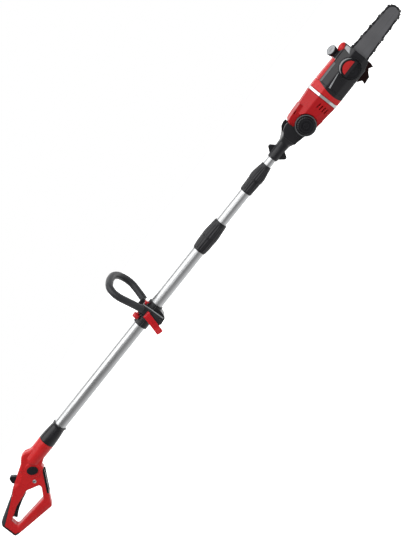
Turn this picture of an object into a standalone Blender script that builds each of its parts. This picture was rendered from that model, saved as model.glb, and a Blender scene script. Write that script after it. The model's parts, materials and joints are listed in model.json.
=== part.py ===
"""Telescoping cordless pole saw: rear handle, three-stage pole, swivelling motor head and saw attachment.

Metres. The pole's axis is the X axis, pointing forward to the saw. +Z is up, towards the loop
handle, and -Y is the right-hand side. The origin is on the pole's axis, inside the rear handle.
"""

import math

import bmesh
import bpy
from mathutils import Matrix, Vector

GAP = 0.0003

# Rear handle, as an outline in the XZ plane: (x, z, corner radius).
HANDLE_HALF = 0.0175
RUBBER_DEPTH = 0.0032
HANDLE_OUTLINE = [
    (0.060, 0.0235, 0.0),
    (0.043, 0.0265, 0.004),
    (0.028, 0.0350, 0.006),
    (0.011, 0.0348, 0.008),
    (-0.012, 0.0200, 0.012),
    (-0.095, -0.0085, 0.012),
    (-0.114, -0.0180, 0.020),
    (-0.206, -0.0460, 0.012),
    (-0.2150, -0.0560, 0.008),
    (-0.2185, -0.1085, 0.007),
    (-0.204, -0.1135, 0.007),
    (-0.0655, -0.1395, 0.005),
    (-0.0025, -0.0725, 0.010),
    (0.0215, -0.0480, 0.008),
    (0.0265, -0.0330, 0.005),
    (0.060, -0.0200, 0.0),
]
HAND_OPENING = [
    (-0.030, -0.0670, 0.006),
    (-0.0345, -0.0770, 0.006),
    (-0.0610, -0.1030, 0.006),
    (-0.1850, -0.0945, 0.007),
    (-0.1820, -0.0690, 0.007),
    (-0.1310, -0.0520, 0.020),
    (-0.0690, -0.0455, 0.010),
]
NECK_PROFILE = [(-0.002, 0.0), (-0.002, 0.012), (0.020, 0.0258), (0.0965, 0.0262), (0.0965, 0.0)]
BOSS_AT = (-0.0015, -0.0186)
BOSS_RADIUS = 0.0245
BOSS_CAP_HALF = (0.0178, 0.0138)
BOSS_CAP_TURN = math.radians(-41)
EYELET_AT = (-0.0283, -0.0456)
GRIP_START = (-0.093, -0.0075)
GRIP_ANGLE = math.radians(17.5)
DOCK_TOP = (0.0200, -0.0490)
DOCK_ANGLE = math.radians(46.6)
DOCK_LENGTH = 0.078
TRIGGER_HALF = 0.0090
TRIGGER_PIVOT = (0.002, 0.0345)
LOCK_HALF = 0.0080
SCREW_SPOTS = [(-0.196, -0.087), (-0.120, -0.112), (-0.062, -0.1200)]

# Pole: outer radius and wall of each stage, from the handle to the head.
TUBE_WALL = 0.0014
OUTER_RADIUS = 0.0193
OUTER_SPAN = (0.022, 0.925)
MID_RADIUS = 0.0170
MID_SPAN = (0.170, 1.142)
HEAD_RADIUS = 0.0135
HEAD_SPAN = (0.520, 1.262)
LEAD_RADIUS = 0.0085
LEAD_SPAN = (0.024, 1.060)
SLEEVE_SPAN = (0.0970, 0.1660)

# Collars: rear end, groove and front end along X.
COLLAR_1 = (0.8640, 0.9140, 0.9725)
COLLAR_2 = (1.0875, 1.1335, 1.1895)

# Loop handle and its clamp.
CLAMP_SPAN = (0.5735, 0.6570)
CLAMP_RADIUS = 0.0235
LOOP_PIVOT = (0.6290, -0.0340)
LOOP_TUBE = 0.0116
LOOP_PATH = [
    (0.6255, -0.0400, 0.030),
    (0.6245, -0.0480, 0.056),
    (0.6235, -0.0620, 0.085),
    (0.6215, -0.0700, 0.112),
    (0.6215, -0.0670, 0.134),
    (0.6250, -0.0530, 0.151),
    (0.6320, -0.0250, 0.1575),
    (0.6370, 0.0000, 0.1565),
    (0.6410, 0.0250, 0.1515),
    (0.6440, 0.0520, 0.137),
    (0.6460, 0.0670, 0.112),
    (0.6450, 0.0680, 0.085),
    (0.6400, 0.0540, 0.056),
    (0.6340, 0.0400, 0.030),
]
LEVER_AXIS = (-0.0395, 0.0093)
LOCK_BAR_AT = (-0.0160, 0.0290)

# Head: the tilt pivot, the saw's middle line and the drive's side offset.
PIVOT_X = 1.352
PIVOT_Z = -0.010
SAW_Z = -0.008
DRIVE_Y = 0.012
ARM_INNER = 0.0275
ARM_OUTER = 0.0345
TONGUE_HALF = 0.0268
HEAD_TOP = 0.0467
RIDGE_Z = 0.0155
RIDGE_HALF = 0.0420
HEAD_BOTTOM = -0.0505
MOTOR_REAR = 1.352
MOTOR_FRONT = 1.4405
RING_SPAN = (1.4412, 1.4492)
COLLAR_SPAN = (1.4500, 1.4768)
BODY_SPAN = (1.4775, 1.6060)
SPROCKET_X = 1.508
KNOB_X = 1.5565
SHOULDER_X = 1.600
NOSE_X = 1.7515
BAR_Y = -0.0075
BAR_THICKNESS = 0.0045
CHAIN_WIDTH = 0.0064
TAIL_RADIUS = 0.0184
SHOULDER_RADIUS = 0.0250
NOSE_RADIUS = 0.0178
CAP_AT = (1.5640, 0.0010, 0.0545)
CAP_TILT = math.radians(28)
NECK_RADIUS = 0.0145

MATERIALS = {
    "red_plastic": ((0.50, 0.025, 0.028), 0.38, 0.0),
    "lever_red": ((0.58, 0.020, 0.025), 0.35, 0.0),
    "black_plastic": ((0.030, 0.031, 0.036), 0.50, 0.0),
    "grip_rubber": ((0.060, 0.064, 0.070), 0.80, 0.0),
    "foam_black": ((0.035, 0.036, 0.040), 0.60, 0.0),
    "aluminium": ((0.72, 0.73, 0.74), 0.30, 1.0),
    "ring_metal": ((0.62, 0.62, 0.62), 0.28, 1.0),
    "bar_steel": ((0.36, 0.36, 0.38), 0.38, 1.0),
    "chain_steel": ((0.20, 0.20, 0.21), 0.35, 1.0),
    "steel": ((0.45, 0.45, 0.46), 0.35, 1.0),
    "cap_grey": ((0.42, 0.43, 0.44), 0.55, 0.0),
    "copper_black": ((0.050, 0.050, 0.052), 0.55, 0.0),
}


def clear_scene():
    for existing in list(bpy.data.objects):
        bpy.data.objects.remove(existing)


def material(name):
    """The named material, made on first use."""
    if name in bpy.data.materials:
        return bpy.data.materials[name]
    colour, roughness, metallic = MATERIALS[name]
    made = bpy.data.materials.new(name)
    made.use_nodes = True
    shader = made.node_tree.nodes["Principled BSDF"]
    shader.inputs["Base Color"].default_value = (*colour, 1.0)
    shader.inputs["Roughness"].default_value = roughness
    shader.inputs["Metallic"].default_value = metallic
    return made


# Planes that a flat outline is drawn on: two numbers in the outline, one across it.


def on_xz(a, b, depth):
    return (a, depth, b)


def on_yz(a, b, depth):
    return (depth, a, b)


def on_grip(u, v, y):
    """u runs back along the top of the grip, v down into it."""
    x = GRIP_START[0] - u * math.cos(GRIP_ANGLE) + v * math.sin(GRIP_ANGLE)
    z = GRIP_START[1] - u * math.sin(GRIP_ANGLE) - v * math.cos(GRIP_ANGLE)
    return (x, y, z)


def on_dock(y, v, u):
    """u runs down the battery dock's face, v out of it."""
    x = DOCK_TOP[0] - u * math.cos(DOCK_ANGLE) + v * math.sin(DOCK_ANGLE)
    z = DOCK_TOP[1] - u * math.sin(DOCK_ANGLE) - v * math.cos(DOCK_ANGLE)
    return (x, y, z)


def arc(centre, radius, start, end, steps):
    """Points on an arc, with angles in degrees."""
    points = []
    for i in range(steps + 1):
        angle = math.radians(start + (end - start) * i / steps)
        points.append((centre[0] + radius * math.cos(angle), centre[1] + radius * math.sin(angle)))
    return points


def rounded(corners, steps=3):
    """An outline from (a, b, radius) corners, each with a radius turned into an arc."""
    points = []
    for i, (a, b, radius) in enumerate(corners):
        corner = Vector((a, b))
        before = (Vector(corners[i - 1][:2]) - corner).normalized()
        after = (Vector(corners[(i + 1) % len(corners)][:2]) - corner).normalized()
        half = before.angle(after) / 2
        if radius == 0.0 or half > math.radians(88):
            points.append((a, b))
            continue
        centre = corner + (before + after).normalized() * radius / math.sin(half)
        first = corner + before * radius / math.tan(half) - centre
        last = corner + after * radius / math.tan(half) - centre
        for step in range(steps + 1):
            points.append(tuple(centre + radius * first.slerp(last, step / steps)))
    return points


def inset(corners, depth):
    """An outline's corners moved inwards by depth, with each round corner still round."""
    area = sum(p[0] * q[1] - q[0] * p[1] for p, q in zip(corners, corners[1:] + corners[:1]))
    turn = 1 if area > 0 else -1
    moved = []
    for i, (a, b, radius) in enumerate(corners):
        corner = Vector((a, b))
        came = (corner - Vector(corners[i - 1][:2])).normalized()
        goes = (Vector(corners[(i + 1) % len(corners)][:2]) - corner).normalized()
        inward = Vector((-came.y - goes.y, came.x + goes.x)) * turn
        corner += inward * depth / (1 + came.dot(goes))
        bend = (came.x * goes.y - came.y * goes.x) * turn
        if radius > 0:
            radius = max(radius - math.copysign(depth, bend), 0.0003)
        moved.append((*corner, radius))
    return moved


def box_outline(low, high):
    return [(low[0], low[1]), (high[0], low[1]), (high[0], high[1]), (low[0], high[1])]


def build(name, geometry, material_name):
    """An object from a bmesh, smooth where its faces nearly line up, with its mesh centred for precision."""
    middle = sum((vert.co for vert in geometry.verts), Vector()) / len(geometry.verts)
    bmesh.ops.translate(geometry, vec=-middle, verts=geometry.verts)
    bmesh.ops.recalc_face_normals(geometry, faces=geometry.faces)
    bmesh.ops.triangulate(geometry, faces=geometry.faces)
    mesh = bpy.data.meshes.new(name)
    geometry.to_mesh(mesh)
    geometry.free()
    mesh.shade_smooth()
    mesh.set_sharp_from_angle(angle=math.radians(35))
    made = bpy.data.objects.new(name, mesh)
    made.location = middle
    made.data.materials.append(material(material_name))
    bpy.context.scene.collection.objects.link(made)
    return made


def loft(sections):
    """A closed skin through sections with the same number of points."""
    geometry = bmesh.new()
    rings = []
    for section in sections:
        rings.append([geometry.verts.new(point) for point in section])
    count = len(rings[0])
    for near, far in zip(rings, rings[1:]):
        for i in range(count):
            j = (i + 1) % count
            geometry.faces.new((near[i], near[j], far[j], far[i]))
    geometry.faces.new(rings[0])
    geometry.faces.new(list(reversed(rings[-1])))
    return geometry


def prism(outline, low, high, place=on_xz):
    return loft([[place(a, b, depth) for a, b in outline] for depth in (low, high)])


def pillow(corners, half, edge, place=on_xz, overrun=0.0):
    """A prism from -half to half with rounded rims. With an overrun it cuts a hole with rounded rims."""
    sections = []
    for angle in (90, 60, 30, 0):
        depth = edge - edge * math.cos(math.radians(angle))
        outline = rounded(inset(corners, -depth if overrun else depth))
        across = half - edge + edge * math.sin(math.radians(angle))
        sections.append((across, outline))
    if overrun:
        sections.insert(0, (half + overrun, sections[0][1]))
    both = [(-across, outline) for across, outline in sections] + list(reversed(sections))
    return loft([[place(a, b, across) for a, b in outline] for across, outline in both])


def turned(profile, centre=(0.0, 0.0, 0.0), axis="X", segments=32):
    """A turned solid: (along, radius) points, closed, about an axis through centre."""
    geometry = bmesh.new()
    rings = []
    for along, radius in profile:
        ring = []
        for i in range(segments if radius > 0 else 1):
            angle = 2 * math.pi * i / segments
            across = (radius * math.cos(angle), radius * math.sin(angle))
            if axis == "X":
                point = Vector((along, across[0], across[1]))
            elif axis == "Y":
                point = Vector((across[0], along, across[1]))
            else:
                point = Vector((across[0], across[1], along))
            ring.append(geometry.verts.new(point + Vector(centre)))
        rings.append(ring)
    for near, far in zip(rings, rings[1:] + rings[:1]):
        if len(near) == 1 and len(far) == 1:
            continue
        for i in range(segments):
            j = (i + 1) % segments
            corners = [near[i % len(near)], near[j % len(near)], far[j % len(far)], far[i % len(far)]]
            geometry.faces.new(list(dict.fromkeys(corners)))
    return geometry


def tube(span, outer, inner, centre=(0.0, 0.0, 0.0), axis="X", segments=32):
    profile = [(span[0], inner), (span[0], outer), (span[1], outer), (span[1], inner)]
    return turned(profile, centre, axis, segments)


def rod(span, radius, centre=(0.0, 0.0, 0.0), axis="X", segments=24):
    profile = [(span[0], 0.0), (span[0], radius), (span[1], radius), (span[1], 0.0)]
    return turned(profile, centre, axis, segments)


def sweep(path, radius, sides):
    """A round bar of one radius along a path, with flat ends."""
    points = [Vector(point) for point in path]
    ahead = (points[1] - points[0]).normalized()
    side = ahead.orthogonal().normalized()
    sections = []
    for i, point in enumerate(points):
        heading = (points[min(i + 1, len(points) - 1)] - points[max(i - 1, 0)]).normalized()
        side = ahead.rotation_difference(heading) @ side
        ahead = heading
        up = ahead.cross(side)
        ring = []
        for k in range(sides):
            angle = 2 * math.pi * k / sides
            ring.append(point + radius * (math.cos(angle) * side + math.sin(angle) * up))
        sections.append(ring)
    return loft(sections)


def coil(start, end, radius, turns, wire):
    """A compression spring between two points."""
    start, end = Vector(start), Vector(end)
    along = (end - start).normalized()
    side = along.orthogonal().normalized()
    up = along.cross(side)
    steps = turns * 10
    path = []
    for i in range(steps + 1):
        angle = 2 * math.pi * turns * i / steps
        spoke = radius * (math.cos(angle) * side + math.sin(angle) * up)
        path.append(start + (end - start) * i / steps + spoke)
    return sweep(path, wire, 5)


def remake(mesh, triangles):
    """Cuts every face into triangles, which Booleans read exactly, or merges flat neighbours again."""
    geometry = bmesh.new()
    geometry.from_mesh(mesh)
    if triangles:
        bmesh.ops.triangulate(geometry, faces=geometry.faces)
    else:
        bmesh.ops.dissolve_limit(geometry, angle_limit=0.003, verts=geometry.verts, edges=geometry.edges)
    geometry.to_mesh(mesh)
    geometry.free()


def geometry_of(piece):
    """Turns a helper object back into a bmesh."""
    geometry = bmesh.new()
    geometry.from_mesh(piece.data)
    bmesh.ops.translate(geometry, vec=piece.location, verts=geometry.verts)
    bpy.data.objects.remove(piece)
    return geometry


def combine(target, geometry, operation):
    """Cuts, joins or intersects the object with a bmesh."""
    other = build("helper", geometry, "steel")
    modifier = target.modifiers.new("combine", "BOOLEAN")
    modifier.operation = operation
    modifier.solver = "EXACT"
    modifier.object = other
    bpy.context.view_layer.update()
    graph = bpy.context.evaluated_depsgraph_get()
    mesh = bpy.data.meshes.new_from_object(target.evaluated_get(graph))
    target.modifiers.clear()
    target.data = mesh
    remake(mesh, triangles=True)
    bpy.data.objects.remove(other)
    while len(mesh.materials) > 1:
        mesh.materials.pop(index=len(mesh.materials) - 1)


def cut(target, geometry):
    combine(target, geometry, "DIFFERENCE")


def join(target, geometry):
    combine(target, geometry, "UNION")


def keep(target, geometry):
    combine(target, geometry, "INTERSECT")


def halves(whole, names, reach=0.2):
    """Splits an object at Y = 0 into a right (-Y) and a left (+Y) object with a hairline gap."""
    low, high = (-0.5, -0.5), (2.0, 0.5)
    left = whole.copy()
    left.data = whole.data.copy()
    bpy.context.scene.collection.objects.link(left)
    whole.name, left.name = names
    keep(whole, prism(box_outline(low, high), -reach, -GAP / 2))
    keep(left, prism(box_outline(low, high), GAP / 2, reach))
    return whole, left


def pivot(name, point, parent=None):
    """An empty on a joint's axis, which holds the pieces of one moving body."""
    empty = bpy.data.objects.new(name, None)
    bpy.context.scene.collection.objects.link(empty)
    empty.parent = parent
    base = parent.matrix_world.translation if parent else Vector((0, 0, 0))
    empty.location = Vector(point) - base
    bpy.context.view_layer.update()
    return empty


def attach(empty, *pieces):
    """Puts pieces under an empty, with their origins on it."""
    for piece in pieces:
        remake(piece.data, triangles=False)
        piece.data.transform(Matrix.Translation(piece.location - empty.matrix_world.translation))
        piece.location = (0, 0, 0)
        piece.parent = empty


# Rear handle


def handle_body():
    """Both handle shells in one, before they are split."""
    body = build("handle", pillow(HANDLE_OUTLINE, HANDLE_HALF, 0.0065), "red_plastic")
    cut(body, pillow(HAND_OPENING, HANDLE_HALF, 0.0050, overrun=0.01))
    join(body, turned(NECK_PROFILE))
    boss = (BOSS_AT[0], 0.0, BOSS_AT[1])
    join(body, rod((-HANDLE_HALF - 0.002, HANDLE_HALF + 0.002), BOSS_RADIUS, boss, "Y", 32))
    return body


def hollow_handle(body):
    """The bore, pockets, slots and recesses inside the handle."""
    cut(body, rod((0.0215, 0.12), OUTER_RADIUS + GAP))
    cut(body, prism(box_outline((-0.0100, 0.009), (0.100, 0.0290)), -0.0135, 0.0135, on_grip))
    head_pocket = [(0.017, 0.015), (-0.020, 0.006), (-0.046, -0.006), (-0.052, -0.036),
                   (-0.030, -0.052), (0.002, -0.050), (0.017, -0.036)]
    cut(body, prism(head_pocket, -0.0135, 0.0135))
    slot = TRIGGER_HALF + 0.0008
    cut(body, prism(box_outline((-0.008, 0.0200), (0.0925, 0.0600)), -slot, slot, on_grip))
    cut(body, rod((-0.0136, 0.0136), 0.0022, on_grip(*TRIGGER_PIVOT, 0.0), "Y", 12))
    slot = LOCK_HALF + GAP
    cut(body, prism(box_outline((-0.0423, -0.020), (-0.0167, 0.0155)), -slot, slot, on_grip))
    cut(body, rod((-0.03, 0.03), 0.0048, (EYELET_AT[0], 0.0, EYELET_AT[1]), "Y"))
    cut(body, prism(box_outline((-0.03, -0.0068), (0.03, 0.02)), -0.006, DOCK_LENGTH + GAP, on_dock))
    for x, z in SCREW_SPOTS:
        cut(body, rod((-0.0115, 0.03), 0.0021, (x, 0.0, z), "Y", 12))
        cut(body, rod((0.0132, 0.03), 0.0041, (x, 0.0, z), "Y", 12))


def handle_core(depth):
    """What is left of the grip under a skin of this depth."""
    return pillow(inset(HANDLE_OUTLINE, depth), HANDLE_HALF - depth, 0.0045)


def grip_outline(grow=0.0):
    return [(-0.004 - grow, -0.02), (0.128 + grow, -0.02), (0.128 + grow, 0.0155 + grow),
            (0.118 + grow, 0.0155 + grow), (0.020, 0.0052 + grow), (-0.004 - grow, 0.0005 + grow)]


def butt_outline(grow=0.0):
    return [(-0.25, -0.0500 + grow), (-0.2080 + grow, -0.0500 + grow),
            (-0.2105 + grow, -0.1040 + grow), (-0.200 + grow, -0.1075 + grow),
            (-0.200 + grow, -0.2), (-0.25, -0.2)]


def make_handle(root):
    body = handle_body()
    skin = body.copy()
    skin.data = body.data.copy()
    skin.name = "butt_cap"
    bpy.context.scene.collection.objects.link(skin)
    rubber = body.copy()
    rubber.data = body.data.copy()
    rubber.name = "grip_overmould"
    bpy.context.scene.collection.objects.link(rubber)
    keep(rubber, prism(grip_outline(), -0.03, 0.03, on_grip))
    cut(rubber, handle_core(RUBBER_DEPTH))
    cut(rubber, prism(butt_outline(GAP), -0.03, 0.03))
    rubber.data.materials[0] = material("grip_rubber")
    keep(skin, prism(butt_outline(), -0.03, 0.03))
    skin.data.materials[0] = material("black_plastic")
    hollow_handle(body)
    recess = build("recess", prism(grip_outline(GAP), -0.03, 0.03, on_grip), "steel")
    cut(recess, handle_core(RUBBER_DEPTH + GAP))
    cut(body, geometry_of(recess))
    cut(body, prism(butt_outline(GAP), -0.03, 0.03))
    right, left = halves(body, ("handle_shell_right", "handle_shell_left"))
    attach(root, right, left, rubber, skin)


def make_handle_fittings(root):
    for side, name in ((-1, "boss_cap_right"), (1, "boss_cap_left")):
        outline = []
        for a, b in arc((0.0, 0.0), 1.0, 0, 345, 23):
            along, across = a * BOSS_CAP_HALF[0], b * BOSS_CAP_HALF[1]
            x = BOSS_AT[0] + along * math.cos(BOSS_CAP_TURN) - across * math.sin(BOSS_CAP_TURN)
            z = BOSS_AT[1] + along * math.sin(BOSS_CAP_TURN) + across * math.cos(BOSS_CAP_TURN)
            outline.append((x, z))
        inner = HANDLE_HALF + 0.002 + GAP
        cap = build(name, prism(outline, side * inner, side * (inner + 0.0022)), "black_plastic")
        attach(root, cap)
    centre = (EYELET_AT[0], 0.0, EYELET_AT[1])
    rim = HANDLE_HALF + GAP
    profile = [(-rim, 0.0030), (-rim - 0.0008, 0.0036), (-rim, 0.0062), (-rim, 0.0045),
               (rim, 0.0045), (rim, 0.0062), (rim + 0.0008, 0.0036), (rim, 0.0030)]
    eyelet = build("strap_eyelet", turned(profile, centre, "Y", 20), "steel")
    section = [(-0.0165, -0.0065), (0.0165, -0.0065), (0.0165, -0.0040), (0.0130, -0.0040),
               (0.0130, -0.0022), (0.0165, -0.0022), (0.0165, 0.0), (0.0095, 0.0),
               (0.0095, -0.0042), (-0.0095, -0.0042), (-0.0095, 0.0), (-0.0165, 0.0),
               (-0.0165, -0.0022), (-0.0130, -0.0022), (-0.0130, -0.0040), (-0.0165, -0.0040)]
    rail = build("battery_rail", prism(section, 0.0, DOCK_LENGTH, on_dock), "black_plastic")
    block = prism(box_outline((-0.0085, -0.0039), (0.0085, -0.0002)), 0.016, 0.052, on_dock)
    contacts = build("contact_block", block, "copper_black")
    for y in (-0.0055, 0.0, 0.0055):
        cut(contacts, prism(box_outline((y - 0.0008, -0.0025), (y + 0.0008, 0.01)), 0.012, 0.046, on_dock))
    switch = prism(box_outline((0.018, 0.0096), (0.052, 0.0190)), -0.0100, 0.0100, on_grip)
    attach(root, eyelet, rail, contacts, build("switch_module", switch, "copper_black"))
    for number, (x, z) in enumerate(SCREW_SPOTS, 1):
        profile = [(-0.0110, 0.0), (-0.0110, 0.0018), (0.0135, 0.0018), (0.0135, 0.0037),
                   (0.0155, 0.0030), (0.0155, 0.0)]
        screw = turned(profile, (x, 0.0, z), "Y", 12)
        attach(root, build(f"handle_screw_{number}", screw, "steel"))


def make_trigger(root):
    centre = on_grip(*TRIGGER_PIVOT, 0.0)
    body = pivot("trigger_pivot", centre, root)
    outline = [(-0.004, 0.0300, 0.001), (-0.0055, 0.0375, 0.003), (0.001, 0.0445, 0.003),
               (0.020, 0.0415, 0.01), (0.052, 0.0405, 0.01), (0.075, 0.0425, 0.01), (0.0890, 0.0460, 0.003),
               (0.0895, 0.0265, 0.001), (0.020, 0.0265, 0.0)]
    trigger = build("trigger", pillow(outline, TRIGGER_HALF, 0.0020, on_grip), "black_plastic")
    cut(trigger, rod((-0.02, 0.02), 0.0022, centre, "Y", 12))
    attach(body, trigger)
    pin = build("trigger_pin", rod((-0.0132, 0.0132), 0.0019, centre, "Y", 12), "steel")
    x, _, z = on_grip(0.070, 0.0180, 0.0)
    turns = coil((x, 0, z - 0.0065), (x, 0, z + 0.0065), 0.0035, 4, 0.00045)
    attach(root, pin, build("trigger_spring", turns, "steel"))


def make_lock_off(root):
    body = pivot("lock_off_slide", on_grip(-0.0295, 0.0, 0.0), root)
    outline = [(-0.0420, 0.0040, 0.001), (-0.0420, -0.0060, 0.003), (-0.0370, -0.0185, 0.003),
               (-0.0270, -0.0200, 0.003), (-0.0170, -0.0080, 0.003), (-0.0170, 0.0040, 0.001)]
    button = build("lock_off_button", pillow(outline, LOCK_HALF, 0.0015, on_grip), "black_plastic")
    attach(body, button)
    x, _, z = on_grip(-0.0295, 0.0097, 0.0)
    spring = coil((x, 0, z - 0.0040), (x, 0, z + 0.0040), 0.0030, 3, 0.0004)
    attach(root, build("lock_off_spring", spring, "steel"))


# Pole


def make_outer_stage(root):
    profile = [(SLEEVE_SPAN[0], OUTER_RADIUS + GAP), (SLEEVE_SPAN[0], 0.0262), (0.120, 0.0252),
               (0.155, 0.0222), (SLEEVE_SPAN[1], 0.0212), (SLEEVE_SPAN[1], OUTER_RADIUS + GAP)]
    sleeve = build("tube_sleeve", turned(profile), "black_plastic")
    outer = build("outer_tube", tube(OUTER_SPAN, OUTER_RADIUS, OUTER_RADIUS - TUBE_WALL), "aluminium")
    lead = build("coiled_lead", rod(LEAD_SPAN, LEAD_RADIUS, segments=16), "foam_black")
    collar = make_collar_base("collar_1_base", COLLAR_1, OUTER_RADIUS, 0.0205, 0.0248)
    attach(root, sleeve, outer, lead, collar)


def make_collar_base(name, spots, tube_radius, rear_radius, groove_radius):
    rear, groove, _ = spots
    bore = tube_radius + GAP
    profile = [(rear, bore), (rear, rear_radius), (rear + 0.004, rear_radius + 0.0015),
               (rear + 0.022, groove_radius - 0.0008), (groove - GAP, groove_radius), (groove - GAP, bore)]
    return build(name, turned(profile), "black_plastic")


def make_collar_nut(name, body, spots, tube_radius, inner_radius, groove_radius, front_radius):
    """The turning front part of a collar, and the collet that it squeezes onto the inner tube."""
    _, groove, front = spots
    clear = tube_radius + 0.0006
    throat = inner_radius + 0.0006
    profile = [(groove, clear), (groove, groove_radius), (groove + 0.016, groove_radius - 0.0004),
               (front - 0.006, front_radius + 0.0012), (front, front_radius), (front, throat),
               (front - 0.013, throat), (front - 0.017, clear)]
    attach(body, build(name + "_nut", turned(profile), "black_plastic"))


def make_collet(name, spots, tube_radius, inner_radius):
    _, _, front = spots
    tube_end = front - 0.0475
    profile = [(tube_end + GAP, inner_radius + GAP), (tube_end + GAP, tube_radius),
               (front - 0.022, tube_radius), (front - 0.018, tube_radius - 0.0006),
               (front - 0.018, inner_radius + GAP)]
    return build(name, turned(profile, segments=24), "cap_grey")


def make_pole(root):
    """The two inner stages and the collars that clamp them. Returns the head stage's body."""
    make_outer_stage(root)
    nut_1 = pivot("collar_1_turn", (COLLAR_1[1], 0, 0), root)
    make_collar_nut("collar_1", nut_1, COLLAR_1, OUTER_RADIUS, MID_RADIUS, 0.0252, 0.0190)
    attach(root, make_collet("collet_1", COLLAR_1, OUTER_RADIUS, MID_RADIUS))
    mid = pivot("mid_slide", (COLLAR_1[2], 0, 0), root)
    attach(mid, build("mid_tube", tube(MID_SPAN, MID_RADIUS, MID_RADIUS - TUBE_WALL), "aluminium"))
    attach(mid, make_collar_base("collar_2_base", COLLAR_2, MID_RADIUS, 0.0182, 0.0212))
    nut_2 = pivot("collar_2_turn", (COLLAR_2[1], 0, 0), mid)
    make_collar_nut("collar_2", nut_2, COLLAR_2, MID_RADIUS, HEAD_RADIUS, 0.0228, 0.0150)
    attach(mid, make_collet("collet_2", COLLAR_2, MID_RADIUS, HEAD_RADIUS))
    head = pivot("head_slide", (COLLAR_2[2], 0, 0), mid)
    attach(head, build("head_tube", tube(HEAD_SPAN, HEAD_RADIUS, HEAD_RADIUS - TUBE_WALL), "aluminium"))
    return head


# Loop handle


def make_clamp(root):
    body = pivot("clamp_slide", (0.6150, 0, 0), root)
    bore = OUTER_RADIUS + GAP
    for name, low, high in (("clamp_upper", 0.0006, 0.1), ("clamp_lower", -0.1, -0.0006)):
        half = build(name, rod(CLAMP_SPAN, CLAMP_RADIUS, segments=32), "black_plastic")
        if name == "clamp_upper":
            block = rounded([(-0.0255, 0.002, 0), (-0.0255, 0.033, 0.004), (-0.0065, 0.033, 0.004),
                             (0.0065, 0.0245, 0.004), (0.018, 0.002, 0)])
            join(half, prism(block, 0.6060, 0.6400, on_yz))
            cut(half, rod((0.5, 0.7), 0.0044, (0, *LOCK_BAR_AT), segments=16))
            cut(half, rod((0.5, 0.6065), 0.0115, (0, *LOCK_BAR_AT), segments=20))
        else:
            lug = rounded([(0.606, 0.0, 0), (0.606, -0.0400, 0.006), (0.618, -0.0470, 0.008),
                           (0.641, -0.0440, 0.008), (0.650, -0.0240, 0.006), (0.650, 0.0, 0)])
            join(half, prism(lug, -0.0240, 0.0240))
            cut(half, rod((-0.04, 0.04), 0.0033, (LOOP_PIVOT[0], 0, LOOP_PIVOT[1]), "Y", 16))
        cut(half, rod((0.5, 0.7), bore))
        keep(half, prism(box_outline((0.5, low), (0.7, high)), -0.1, 0.1))
        attach(body, half)
    return body


def make_lock_bar(clamp):
    """The red push bar through the clamp: a knob behind and a round end in front."""
    body = pivot("lock_bar_slide", (0.6, *LOCK_BAR_AT), clamp)
    profile = [(0.5860, 0.0), (0.5860, 0.0095), (0.5880, 0.0105), (0.5985, 0.0105),
               (0.6005, 0.0085), (0.6005, 0.0040), (0.6460, 0.0040), (0.6460, 0.0072),
               (0.6490, 0.0072), (0.6490, 0.0)]
    knob = build("tilt_lock_bar", turned(profile, (0, *LOCK_BAR_AT), "X", 12), "lever_red")
    attach(body, knob)


def make_loop(clamp):
    body = pivot("loop_tilt", (LOOP_PIVOT[0], 0, LOOP_PIVOT[1]), clamp)
    loop = build("loop_handle", sweep(smooth_path(LOOP_PATH, 3), LOOP_TUBE, 16), "foam_black")
    plate = rounded([(0.6130, 0.0400, 0.004), (0.6120, -0.0200, 0.004), (0.6190, -0.0440, 0.009),
                     (0.6395, -0.0440, 0.009), (0.6400, 0.0100, 0.004), (0.6370, 0.0400, 0.004)])
    for side in (-1, 1):
        join(loop, prism(plate, side * 0.0277, side * 0.0340))
    hole = rod((-0.05, 0.05), 0.0036, (LOOP_PIVOT[0], 0, LOOP_PIVOT[1]), "Y", 16)
    cut(loop, hole)
    join(loop, prism(box_outline((0.6025, 0.0040), (0.6180, 0.0145)), -0.0335, -0.0285))
    for low in (0.6028, 0.6325):
        ear = box_outline((-0.0440, 0.0045), (-0.0330, 0.0140))
        join(loop, prism(ear, low, low + 0.0038, on_yz))
    cut(loop, rod((0.59, 0.65), 0.0021, (0, *LEVER_AXIS), segments=12))
    centre = (LOOP_PIVOT[0], 0, LOOP_PIVOT[1])
    profile = [(-0.0378, 0.0), (-0.0378, 0.0050), (-0.0344, 0.0060), (-0.0344, 0.0030),
               (0.0344, 0.0030), (0.0344, 0.0), ]
    bolt = build("clamp_bolt", turned(profile, centre, "Y", 16), "steel")
    nut = build("clamp_nut", tube((0.0344, 0.0400), 0.0060, 0.0012, centre, "Y", 6), "steel")
    pin = build("cam_pin", rod((0.6034, 0.6360), 0.0018, (0, *LEVER_AXIS), segments=12), "steel")
    attach(body, loop, pin)
    attach(clamp, bolt, nut)
    return body


def smooth_path(points, steps):
    """A Catmull-Rom curve through the points."""
    ends = [points[0], *points, points[-1]]
    path = []
    for a, b, c, d in zip(ends, ends[1:], ends[2:], ends[3:]):
        a, b, c, d = Vector(a), Vector(b), Vector(c), Vector(d)
        for i in range(steps):
            t = i / steps
            path.append(0.5 * (2 * b + (c - a) * t + (2 * a - 5 * b + 4 * c - d) * t**2
                               + (3 * b - a - 3 * c + d) * t**3))
    path.append(Vector(points[-1]))
    return path


def make_lever(loop):
    body = pivot("lever_pivot", (0.620, *LEVER_AXIS), loop)
    lever = build("cam_lever", rod((0.6080, 0.6318), 0.0046, (0, *LEVER_AXIS), segments=16), "lever_red")
    outline = rounded([(0.6095, 0.0120, 0), (0.5895, -0.0540, 0.003),
                       (0.6090, -0.0600, 0.003), (0.6300, 0.0085, 0)])
    join(lever, prism(outline, -0.0445, -0.0388))
    cut(lever, rod((0.60, 0.64), 0.0021, (0, *LEVER_AXIS), segments=12))
    attach(body, lever)


# Head


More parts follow.
